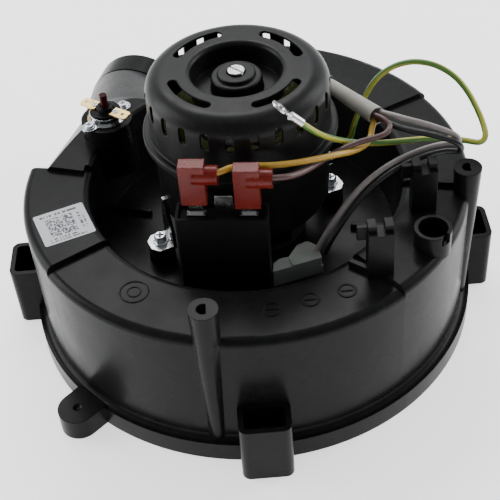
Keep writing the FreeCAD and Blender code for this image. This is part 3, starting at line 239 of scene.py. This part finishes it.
def paint(name, colour, rough):
    """Sprayed paint on pressed steel: fine orange peel and dust in the gloss."""
    finish = Finish(name, colour, rough)
    finish.rounded(0.0008)
    finish.bump(finish.noise(650, 2), 0.00004, 0.6)
    finish.vary_rough(120, 0.07)
    finish.setting(Specular_IOR_Level=0.14, Coat_Weight=0.03, Coat_Roughness=0.2)
    return finish.tint(finish.noise(420, 5), [c * 1.7 + 0.001 for c in colour], 0.5, 0.8)


def insulation(name, colour, other, rough=0.36):
    """Extruded wire insulation: slight waviness, rubbed sheen and soft depth."""
    finish = Finish(name, colour, rough)
    finish.bump(finish.noise(420, 3), 0.00006, 0.5)
    finish.vary_rough(260, 0.08)
    finish.setting(Subsurface_Weight=0.06, Subsurface_Radius=(0.001, 0.0008, 0.0006))
    return finish.tint(finish.noise(150, 4), other, 0.35, 0.8)


def galvanised():
    """Zinc-coated sheet, with a spangle of flat crystals."""
    finish = Finish("plate_steel", (0.55, 0.57, 0.58), 0.38, 1.0)
    finish.rounded(0.0003)
    finish.join(finish.spread(finish.cells(140, "Distance"), 0.28, 0.5, 0, 0.8),
                finish.shader.inputs["Roughness"])
    finish.bump(finish.cells(140, "Distance"), 0.00003, 0.5)
    return finish.tint(finish.cells(140), (0.38, 0.41, 0.44), 0.1, 0.9)


def laminated(name, colour, rough=0.45):
    """A stack of thin punched steel sheets."""
    finish = Finish(name, colour, rough, 0.7)
    sheets = finish.bands(500)
    finish.bump(sheets, 0.00012)
    finish.vary_rough(300, 0.08)
    return finish.tint(sheets, [c * 0.45 for c in colour])


# The label's print in millimetres about its middle: left, right, low and high edges.
LABEL_YAW = math.radians(20.5)
LABEL_WHITE = (0.52, 0.54, 0.57)
LABEL_INK = (0.03, 0.035, 0.05)
LABEL_BLOCK = (-7.8, 5.4, -6.6, 6.6)
LABEL_ROWS = ((-9.5, 8.5, 8.2, 9.6), (-9.5, 8.5, -10.4, -9.4), (-9.5, 4.0, -8.7, -7.7))
LABEL_COLUMNS = ((7.6, 8.8, -6.0, 6.0), (9.6, 10.4, -6.0, 2.5))
INK_SQUARE = (0.66, 0.66)
INK_DASH = (0.55, 5.0)
SQUARES_INKED = 0.5
DASHES_INKED = 0.62


def printed_label():
    """White film with a block of random squares and short bars, in the label's own directions."""
    finish = Finish("label_paper", LABEL_WHITE, 0.42)
    corner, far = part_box("rating_label")
    mapping = finish.node("ShaderNodeMapping", vector_type="TEXTURE")
    mapping.inputs["Location"].default_value = (corner + far) / 2
    mapping.inputs["Rotation"].default_value = (0, 0, LABEL_YAW)
    finish.join(finish.place, mapping.inputs["Vector"])
    split = finish.node("ShaderNodeSeparateXYZ")
    finish.join(mapping.outputs["Vector"], split.inputs["Vector"])

    def maths(kind, first, second):
        made = finish.node("ShaderNodeMath", operation=kind)
        finish.feed(first, made.inputs[0])
        finish.feed(second, made.inputs[1])
        return made.outputs[0]

    def within(axis, low, high):
        above = maths("GREATER_THAN", axis, low * MM)
        return maths("MULTIPLY", above, maths("LESS_THAN", axis, high * MM))

    def random_squares(step_x, step_y, share):
        snap = finish.node("ShaderNodeVectorMath", operation="SNAP")
        snap.inputs[1].default_value = (step_x * MM, step_y * MM, 1.0)
        finish.join(mapping.outputs["Vector"], snap.inputs[0])
        grain = finish.node("ShaderNodeTexWhiteNoise", noise_dimensions="2D")
        scaled = finish.node("ShaderNodeVectorMath", operation="SCALE")
        scaled.inputs["Scale"].default_value = 977.0
        finish.join(snap.outputs[0], scaled.inputs[0])
        finish.join(scaled.outputs[0], grain.inputs["Vector"])
        return maths("LESS_THAN", grain.outputs["Value"], share)

    def printed(edges, step, share):
        left, right, low, high = edges
        window = maths("MULTIPLY", within(split.outputs[0], left, right), within(split.outputs[1], low, high))
        return maths("MULTIPLY", window, random_squares(*step, share))

    inked = printed(LABEL_BLOCK, INK_SQUARE, SQUARES_INKED)
    for edges in LABEL_ROWS:
        inked = maths("MAXIMUM", inked, printed(edges, INK_DASH, DASHES_INKED))
    for edges in LABEL_COLUMNS:
        inked = maths("MAXIMUM", inked, printed(edges, reversed(INK_DASH), DASHES_INKED))
    finish.join(finish.mix(inked, LABEL_WHITE, LABEL_INK), finish.shader.inputs["Base Color"])
    finish.bump(finish.noise(500, 3), 0.00002, 0.4)
    return finish.vary_rough(200, 0.06)


def woven_sleeve():
    """Varnished glass sleeving: a fine diagonal weave under a satin skin."""
    finish = Finish("sleeve_fabric", (0.25, 0.24, 0.20), 0.5)
    finish.bump(finish.noise(1900, 2, (1, 1, 3)), 0.00006, 0.5)
    finish.vary_rough(300, 0.08)
    finish.setting(Sheen_Weight=0.25, Sheen_Roughness=0.5)
    return finish.tint(finish.noise(110, 4), (0.32, 0.305, 0.26))


def clear_flag():
    """Clear red plastic of the flag insulators."""
    finish = Finish("flag_plastic", (0.26, 0.014, 0.010), 0.26)
    finish.rounded(0.0006)
    finish.bump(finish.noise(300, 2), 0.00003, 0.4)
    finish.vary_rough(60, 0.04)
    finish.setting(Transmission_Weight=0.6, IOR=1.35, Specular_IOR_Level=0.3)
    return finish.tint(finish.noise(60, 2), (0.32, 0.035, 0.022))


def natural_nylon():
    """Milky, slightly waxy nylon."""
    finish = Finish("connector_nylon", (0.30, 0.32, 0.30), 0.36)
    finish.rounded(0.0006)
    finish.bump(finish.noise(500, 3), 0.00004, 0.5)
    finish.vary_rough(200, 0.07)
    finish.setting(Subsurface_Weight=0.35, Subsurface_Radius=(0.003, 0.003, 0.0028))
    return finish.tint(finish.noise(90, 3), (0.22, 0.24, 0.22))


def winding_wire():
    """Enamelled wire under varnish, yellow-green."""
    finish = Finish("winding_enamel", (0.16, 0.19, 0.03), 0.35)
    finish.vary_rough(500, 0.08)
    finish.bump(finish.noise(1500, 3), 0.00003, 0.5)
    finish.setting(Coat_Weight=0.4, Coat_Roughness=0.2)
    return finish.tint(finish.noise(220, 4), (0.24, 0.24, 0.05))


def make_finishes():
    finishes = [
        moulding("housing_plastic", (0.0075, 0.0075, 0.0077), 0.28),
        moulding("impeller_plastic", (0.02, 0.02, 0.022), 0.5),
        moulding("fan_plastic", (0.016, 0.016, 0.016), 0.5, edge=0.0003),
        moulding("case_plastic", (0.005, 0.005, 0.005), 0.5, edge=0.0005),
        moulding("switch_phenolic", (0.004, 0.0035, 0.0035), 0.25, edge=0.0003),
        moulding("button_plastic", (0.035, 0.004, 0.005), 0.25, edge=0.0002),
        paint("motor_paint", (0.006, 0.006, 0.0062), 0.36),
        paint("bracket_steel", (0.006, 0.006, 0.006), 0.4),
        rubber("gasket_rubber", (0.02, 0.02, 0.02)),
        rubber("seal_rubber", (0.022, 0.022, 0.022)),
        rubber("grommet_rubber", (0.016, 0.016, 0.016)),
        rubber("boot_rubber", (0.02, 0.02, 0.02), 0.6),
        metal("zinc_screw", (0.66, 0.68, 0.70), 0.24, other=(0.52, 0.55, 0.62)),
        metal("shaft_steel", (0.60, 0.60, 0.60), 0.26, (1, 1, 14)),
        metal("foot_steel", (0.5, 0.5, 0.5), 0.24),
        metal("cage_aluminium", (0.66, 0.67, 0.68), 0.4),
        metal("bearing_bronze", (0.50, 0.32, 0.14), 0.42),
        metal("tinned_brass", (0.80, 0.56, 0.20), 0.3, other=(0.86, 0.66, 0.32)),
        metal("switch_aluminium", (0.66, 0.67, 0.68), 0.14, (1, 6, 1)),
        metal("terminal_tin", (0.74, 0.74, 0.74), 0.22),
        galvanised(),
        laminated("core_iron", (0.20, 0.21, 0.22)),
        laminated("rotor_iron", (0.34, 0.34, 0.35)),
        printed_label(),
        woven_sleeve(),
        clear_flag(),
        natural_nylon(),
        winding_wire(),
        insulation("lead_yellow_pvc", (0.42, 0.24, 0.02), (0.50, 0.30, 0.04)),
        insulation("lead_brown_pvc", (0.075, 0.036, 0.033), (0.11, 0.055, 0.05)),
        insulation("lead_white_pvc", (0.22, 0.195, 0.19), (0.30, 0.27, 0.26)),
        insulation("lead_black_pvc", (0.006, 0.006, 0.007), (0.012, 0.012, 0.013)),
        insulation("lead_ground_pvc", (0.07, 0.17, 0.03), (0.09, 0.20, 0.04)),
        insulation("lead_stripe", (0.34, 0.34, 0.03), (0.40, 0.39, 0.05)),
    ]
    return {f.name: f.material for f in finishes}


def dress_nodes(finishes):
    """Gives every CAD node the finish of its slot."""
    for row in frame["record"]["subparts"]:
        item = NODES[row["node"]]
        item.data.materials.clear()
        item.data.materials.append(finishes[row["material_slot"]])


# ---------------------------------------------------------------- pieces

def add_piece(name, mesh_or_curve, finish, body="fan_body", replaces=()):
    item = bpy.data.objects.new(name, mesh_or_curve)
    bpy.context.scene.collection.objects.link(item)
    if finish is not None:
        mesh_or_curve.materials.append(finish)
    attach(item, body)
    if replaces:
        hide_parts(*replaces)
    return item


def mesh_from(name, points, faces, smooth=True):
    mesh = bpy.data.meshes.new(name)
    mesh.from_pydata(points, [], faces)
    mesh.polygons.foreach_set("use_smooth", [smooth] * len(mesh.polygons))
    mesh.update()
    return mesh


def tube(path, radius, sides, points, faces, closed=False, twist=0.0):
    """Adds a round tube along a path to points and faces.  radius is a number, or one for each point."""
    first = len(points)
    count = len(path)
    side = None
    for i, spot in enumerate(path):
        ahead = path[(i + 1) % count] if closed or i + 1 < count else path[i]
        behind = path[i - 1] if closed or i else path[i]
        along = (ahead - behind).normalized()
        if side is None:
            side = along.orthogonal().normalized()
        side = (side - along * side.dot(along)).normalized()
        other = along.cross(side)
        size = radius[i] if hasattr(radius, "__len__") else radius
        for j in range(sides):
            turn = 2 * math.pi * j / sides + twist * i
            points.append(spot + (side * math.cos(turn) + other * math.sin(turn)) * size)
    spans = count if closed else count - 1
    for i in range(spans):
        near, far = first + i * sides, first + ((i + 1) % count) * sides
        for j in range(sides):
            k = (j + 1) % sides
            faces.append((near + j, near + k, far + k, far + j))
    if not closed:
        faces.append(tuple(first + j for j in reversed(range(sides))))
        faces.append(tuple(first + (count - 1) * sides + j for j in range(sides)))


# ---------------------------------------------------------------- windings

WIRE = 0.95 * MM
TEETH = 8
ROWS = 12
LAYERS = 3
COIL_INNER = 24.2 * MM
ROW_STEP = 1.02 * MM
STACK = tuple(corner.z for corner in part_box("stator_core"))
ARC_STEPS = 8


def coil_loop(middle, radius, layer):
    """One turn of wire round a stator tooth: up one slot, over the tooth, down the next slot and back."""
    half = math.radians(180 / TEETH) - (0.55 + 0.95 * (LAYERS - 1 - layer)) * MM / radius
    wobble = random.uniform(-0.25, 0.25) * MM
    rise = (2.6 + 2.2 * layer) * MM + wobble
    path = []
    for sign, edge in ((1, STACK[1]), (-1, STACK[0])):
        for step in range(ARC_STEPS + 1):
            share = -math.cos(math.pi * step / ARC_STEPS)
            lift = rise * (1 - share ** 4) ** 0.5 if abs(share) < 1 else 0
            angle = middle - half * share * sign
            path.append(Vector((radius * math.cos(angle), radius * math.sin(angle), edge + sign * lift)))
    return path


def add_windings(finishes):
    points, faces = [], []
    for tooth in range(TEETH):
        middle = math.radians(360 / TEETH * tooth)
        for row in range(ROWS):
            for layer in range(LAYERS):
                path = coil_loop(middle, COIL_INNER + row * ROW_STEP, layer)
                tube(path, WIRE / 2, 6, points, faces, closed=True)
    add_piece("stator_coils", mesh_from("stator_coils", points, faces), finishes["winding_enamel"],
              replaces=["stator_windings"])


# ---------------------------------------------------------------- screws and rivets

def lathe(profile, sides, points, faces, spot, shape=None, caps=True):
    """Turns (radius, height) pairs about a vertical axis.  shape can change a point by its place."""
    first = len(points)
    for radius, height in profile:
        for j in range(sides):
            turn = 2 * math.pi * j / sides
            r, z = (radius, height) if shape is None else shape(radius, height, turn)
            points.append(Vector(spot) + Vector((r * math.cos(turn), r * math.sin(turn), z)))
    for i in range(len(profile) - 1):
        low, high = first + i * sides, first + (i + 1) * sides
        for j in range(sides):
            k = (j + 1) % sides
            faces.append((low + j, low + k, high + k, high + j))
    if caps:
        faces.append(tuple(first + j for j in reversed(range(sides))))
        faces.append(tuple(first + (len(profile) - 1) * sides + j for j in range(sides)))


# Sizes of the screws in millimetres.
FOOT_SCREW = {"shank": 2.1, "length": 11.4, "head": 2.9, "height": 4.5, "washer": 3.7}
SWITCH_SCREW = {"shank": 1.4, "length": 7.0, "head": 2.3, "height": 1.7, "washer": 2.7}
PITCH = 0.7 * MM
THREAD_DEPTH = 0.32 * MM
THREAD_SIDES = 24
HEAD_SIDES = 36
HEAD_RINGS = 14
SCREW_SPREAD = 12 * MM


def add_screws(node, count, sizes, hexagon, finishes):
    """Machine screws with a washer face, a thread and a cross recess in a hexagonal or round head."""
    shank, length, head_radius, height, washer = (size * MM for size in sizes.values())
    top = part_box(node)[1].z
    seat = top - height
    points, faces = [], []

    def threaded(radius, level, turn):
        phase = (level / PITCH - turn / (2 * math.pi)) % 1
        return radius - THREAD_DEPTH * abs(2 * phase - 1), level

    def recessed(radius, level, turn):
        across = min(abs(math.cos(turn)), abs(math.sin(turn))) * radius
        inside = radius < head_radius * 0.62 and across < head_radius * 0.15 and level > seat + height * 0.7
        if hexagon and radius > head_radius * 0.8:
            radius *= math.cos(math.pi / 6) / math.cos((turn % (math.pi / 3)) - math.pi / 6) * 1.06
        return radius, level - height * 0.5 if inside else level

    for x, y in centres(node, count):
        rings = int(length / (PITCH / 6))
        thread = [(shank, seat - length + length * i / rings) for i in range(rings + 1)]
        lathe(thread, THREAD_SIDES, points, faces, (x, y, 0), threaded)
        mid = seat + 0.7 * MM
        head = [(shank, seat), (washer - 0.1 * MM, seat), (washer, seat + 0.12 * MM),
                (washer, mid - 0.1 * MM), (washer - 0.3 * MM, mid), (head_radius, mid),
                (head_radius, mid + 0.1 * MM), (head_radius, top - 0.35 * MM),
                (head_radius * 0.94, top - 0.12 * MM), (head_radius * 0.84, top)]
        head += [(head_radius * 0.84 * (1 - i / HEAD_RINGS), top) for i in range(1, HEAD_RINGS)]
        lathe(head, HEAD_SIDES, points, faces, (x, y, 0), recessed)
    item = add_piece(node + "_detailed", mesh_from(node, points, faces), finishes["zinc_screw"],
                     replaces=[node])
    shade_by_angle(item)


def shade_by_angle(item, degrees=32):
    """Keeps sharp corners sharp on a smooth-shaded piece."""
    split = item.modifiers.new("sharp_edges", "EDGE_SPLIT")
    split.split_angle = math.radians(degrees)


def centres(node, count):
    """Middle of each of a node's equal solids.  Points nearer than SCREW_SPREAD are of one solid."""
    groups = []
    for vertex in NODES[node].data.vertices:
        spot = vertex.co.copy()
        for group in groups:
            if (group[0] - spot).xy.length < SCREW_SPREAD:
                group.append(spot)
                break
        else:
            groups.append([spot])
    assert len(groups) == count, (node, len(groups))
    found = []
    for group in groups:
        xs, ys = [p.x for p in group], [p.y for p in group]
        found.append(((min(xs) + max(xs)) / 2, (min(ys) + max(ys)) / 2))
    return found


# Blade directions on the limit switch, and where the rivets stand on them.
RIVET_YAWS = (145, -35)
RIVET_REACH = 6.4 * MM
RIVET_PROFILE = ((0.75, -0.3), (1.5, 0.0), (1.65, 0.2), (1.5, 0.42), (1.15, 0.5), (0.8, 0.4), (0.7, 0.05))
PLUG_RADIUS = 0.71 * MM
PLUG_SIDES = 12


def in_metres(profile):
    return [(radius * MM, height * MM) for radius, height in profile]


def add_switch_rivets(finishes):
    """Hollow rivets that hold the blades on the limit switch's body."""
    corner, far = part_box("switch_body")
    middle = (corner + far) / 2
    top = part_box("switch_blades")[1].z
    points, faces = [], []
    for yaw in RIVET_YAWS:
        x = middle.x + math.cos(math.radians(yaw)) * RIVET_REACH
        y = middle.y + math.sin(math.radians(yaw)) * RIVET_REACH
        lathe(in_metres(RIVET_PROFILE), 28, points, faces, (x, y, top), caps=False)
        first = len(points)
        for j in range(PLUG_SIDES):
            turn = 2 * math.pi * j / PLUG_SIDES
            points.append(Vector((x + math.cos(turn) * PLUG_RADIUS, y + math.sin(turn) * PLUG_RADIUS,
                                  top + 0.05 * MM)))
        faces.append(tuple(range(first, first + PLUG_SIDES)))
    add_piece("switch_rivets", mesh_from("switch_rivets", points, faces), finishes["switch_aluminium"])


# Two plain rings moulded on the front deck, whose top is level here.
FRONT_DECK = 76.5 * MM
MARK_SPOT = (-53.1 * MM, -73.3 * MM, FRONT_DECK)
OUTER_RING = ((6.9, -0.1), (6.75, 0.28), (6.45, 0.34), (6.15, 0.28), (6.0, -0.1))
INNER_RING = ((3.4, -0.1), (3.25, 0.26), (3.0, 0.32), (2.75, 0.26), (2.6, -0.1))


def add_deck_mark(finishes):
    """Two plain raised rings, one inside the other, moulded on the front deck."""
    points, faces = [], []
    for profile, sides in ((OUTER_RING, 72), (INNER_RING, 48)):
        lathe(in_metres(profile), sides, points, faces, MARK_SPOT, caps=False)
    add_piece("deck_mark", mesh_from("deck_mark", points, faces), finishes["housing_plastic"])


# ---------------------------------------------------------------- leads

LEAD = 2.8 * MM
STRIPED_SIDES = 20

# Route of each lead in millimetres, from the motor's sleeve (or the ring terminal) to its far end.
ROUTES = {
    "lead_yellow": [
        (58.7, -1.8, 110.2), (62.3, -9.1, 111.5), (60.5, -12.3, 109.5), (59.5, -16.5, 107.5),
        (55.8, -22.3, 107.2), (49.4, -27.6, 108.8), (41.8, -35, 114), (32.3, -40.5, 117), (22.7, -45, 119.3),
        (12.5, -48.4, 121.8), (3.6, -49.4, 123.4), (-5.2, -49.6, 124), (-10.9, -53, 123.8),
        (-17.4, -53.4, 123.6)],
    "lead_brown": [
        (58.4, -1.3, 113.2), (62, -8.7, 114.5), (66, -12.3, 114.3), (68.7, -16.3, 113), (66, -20.6, 112),
        (60, -22.6, 111.8), (53.4, -24.5, 111.8), (46.8, -27, 111.4), (39.3, -31, 110.8), (31, -40.7, 113.2),
        (23.5, -50.4, 117.4), (16.6, -56.2, 120.9), (7.4, -56.4, 121.6)],
    "lead_white": [
        (61.2, 0.1, 113.2), (64.7, -7, 114.5), (70, -10.5, 114.8), (77, -15, 114.8), (84.8, -18.5, 114),
        (91.6, -21.8, 112.8), (98.1, -25.5, 111.2), (99.2, -23.4, 105), (93.5, -21.7, 104.4),
        (86.2, -21.9, 103.4), (77.7, -23.1, 101.4), (69.2, -25, 98.8), (60.9, -28.3, 95.8),
        (53, -32.6, 91.8), (45.5, -37.9, 86.8), (38.8, -43.2, 80.5), (33.6, -46.2, 73.5),
        (31, -46.2, 66.8)],
    "lead_black": [
        (61.4, -0.4, 110.3), (64.9, -7.6, 111.4), (69.9, -13.3, 110.8), (77, -18.4, 111.2),
        (85, -22, 111.2), (92, -25.2, 110.6), (98.6, -29, 109.6), (99.9, -27.2, 103.4),
        (94.3, -24.9, 103), (87, -24.8, 102), (78.6, -25.8, 100), (70.2, -27.6, 97.2), (62.3, -30.7, 94),
        (54.7, -34.8, 90), (47.5, -39.9, 85), (41.1, -45, 78.7), (36.2, -47.9, 72), (34.3, -48.2, 66.8)],
    "lead_ground": [
        (24.9, -41.9, 139.3), (28.2, -41.7, 136), (32, -37.6, 129.6), (37.3, -32.3, 122.3),
        (44.8, -23.9, 113), (51.5, -17.8, 106.4), (58.5, -15, 103), (66.1, -14.2, 101.8),
        (76.7, -12.1, 100.5), (87.5, -10, 99), (98, -10.1, 98), (105.6, -12.2, 97.6), (111.5, -15.5, 98),
        (114, -14.5, 101), (113.6, -8.9, 104), (111.6, -2.9, 108.5), (108.1, 4.3, 114),
        (102.8, 10.6, 119), (95, 15.3, 122.5), (86.3, 17.7, 124), (78.4, 18.6, 123), (71.1, 17.5, 120.5),
        (65.2, 15.7, 116), (60.9, 14.6, 108.5), (57.5, 12.3, 101), (55.1, 10.6, 95), (53.6, 10.2, 87.5),
        (50.5, 10, 80.5), (43.8, 9, 77)],
}


def lead_spline(name, radius):
    """Smooth curve of a lead, with the points of its route as control points."""
    curve = bpy.data.curves.new(name, "CURVE")
    curve.dimensions = "3D"
    curve.bevel_depth = radius
    curve.bevel_resolution = 6
    curve.resolution_u = 8
    curve.use_fill_caps = True
    spline = curve.splines.new("NURBS")
    route = ROUTES[name]
    spline.points.add(len(route) - 1)
    for point, spot in zip(spline.points, route):
        point.co = (*(Vector(spot) * MM), 1)
    spline.order_u = 3
    spline.use_endpoint_u = True
    return curve


def spline_points(name):
    """Points along the lead's smooth line."""
    curve = lead_spline(name, 0)
    holder = bpy.data.objects.new(name + "_line", curve)
    bpy.context.scene.collection.objects.link(holder)
    bpy.context.view_layer.update()
    mesh = bpy.data.meshes.new_from_object(holder.evaluated_get(bpy.context.evaluated_depsgraph_get()))
    line = [v.co.copy() for v in mesh.vertices]
    bpy.data.objects.remove(holder)
    bpy.data.meshes.remove(mesh)
    return line


def add_plain_lead(name, finishes):
    item = add_piece(name + "_wire", lead_spline(name, LEAD / 2), finishes[name + "_pvc"],
                     replaces=[name])


def add_ground_lead(finishes):
    """The green lead has two yellow stripes that wander slowly round it."""
    name = "lead_ground"
    line = spline_points(name)
    points, faces = [], []
    tube(line, LEAD / 2, STRIPED_SIDES, points, faces, twist=0.035)
    item = add_piece(name + "_wire", mesh_from(name + "_wire", points, faces), finishes[name + "_pvc"],
                     replaces=[name])
    item.data.materials.append(finishes["lead_stripe"])
    for face in item.data.polygons:
        if len(face.vertices) == 4 and face.index % (STRIPED_SIDES // 2) < STRIPED_SIDES // 4:
            face.material_index = 1


# ---------------------------------------------------------------- floor and light

FLOOR_HALF = 3.0
FLOOR_GLOW = 1.2
FLOOR_GAP = 0.0002
SURROUND = 1.5
# Along each axis of the sky: where a smooth ramp starts and ends, and its brightness at each end.
SURROUND_RAMPS = (("Z", 0.42, 0.90, 0.9, 0.55), ("Y", -0.55, 0.15, 0.25, 1.0))


def make_stage():
    corners = [(x * FLOOR_HALF, y * FLOOR_HALF, 0) for x, y in ((-1, -1), (1, -1), (1, 1), (-1, 1))]
    floor = mesh_from("floor", corners, [(0, 1, 2, 3)], False)
    item = bpy.data.objects.new("floor", floor)
    bpy.context.scene.collection.objects.link(item)
    finish = Finish("floor", (0.96, 0.96, 0.96), 0.7)
    finish.vary_rough(20, 0.05)
    finish.setting(Emission_Color=(1, 1, 1, 1), Emission_Strength=FLOOR_GLOW)
    floor.materials.append(finish.material)
    item.location.z = CAD_BOX[0].z - FLOOR_GAP
    make_world()


def make_world():
    """Soft surround: bright low down at the back and sides, dimmer overhead and at the front."""
    world = bpy.data.worlds.new("studio")
    world.use_nodes = True
    tree = world.node_tree
    background = tree.nodes["Background"]
    background.inputs["Color"].default_value = (0.96, 0.98, 1, 1)
    split = tree.nodes.new("ShaderNodeSeparateXYZ")
    tree.links.new(tree.nodes.new("ShaderNodeTexCoord").outputs["Generated"], split.inputs["Vector"])
    shares = []
    for axis, near, far, at_near, at_far in SURROUND_RAMPS:
        ramp = tree.nodes.new("ShaderNodeMapRange")
        ramp.interpolation_type = "SMOOTHSTEP"
        ramp.inputs["From Min"].default_value = near
        ramp.inputs["From Max"].default_value = far
        ramp.inputs["To Min"].default_value = at_near
        ramp.inputs["To Max"].default_value = at_far
        tree.links.new(split.outputs[axis], ramp.inputs["Value"])
        shares.append(ramp.outputs["Result"])
    product = tree.nodes.new("ShaderNodeMath")
    product.operation = "MULTIPLY"
    scaled = tree.nodes.new("ShaderNodeMath")
    scaled.operation = "MULTIPLY"
    scaled.inputs[1].default_value = SURROUND
    for share, target in zip(shares, product.inputs):
        tree.links.new(share, target)
    tree.links.new(product.outputs[0], scaled.inputs[0])
    tree.links.new(scaled.outputs[0], background.inputs["Strength"])
    bpy.context.scene.world = world


def add_light(name, spot, aim, width, height, watts):
    lamp = bpy.data.lights.new(name, "AREA")
    lamp.shape = "RECTANGLE"
    lamp.size, lamp.size_y = width, height
    lamp.energy = watts
    item = bpy.data.objects.new(name, lamp)
    bpy.context.scene.collection.objects.link(item)
    item.location = spot
    item.rotation_euler = (Vector(aim) - Vector(spot)).to_track_quat("-Z", "Y").to_euler()


for plain in list(bpy.data.materials):
    bpy.data.materials.remove(plain)
make_camera()
make_stage()
add_light("overhead", (-0.1, 0.75, 1.05), (0, 0, 0.05), 0.8, 0.5, 9)
add_light("left", (-0.8, 0.15, 0.4), (0, 0, 0.06), 0.4, 0.6, 4)
add_light("right", (0.8, 0.25, 0.45), (0, 0, 0.06), 0.35, 0.6, 4)

finishes = make_finishes()
dress_nodes(finishes)
add_windings(finishes)
add_screws("foot_screws", 3, FOOT_SCREW, True, finishes)
add_screws("switch_screws", 2, SWITCH_SCREW, False, finishes)
add_switch_rivets(finishes)
add_deck_mark(finishes)
add_plain_lead("lead_yellow", finishes)
add_plain_lead("lead_brown", finishes)
add_plain_lead("lead_white", finishes)
add_plain_lead("lead_black", finishes)
add_ground_lead(finishes)
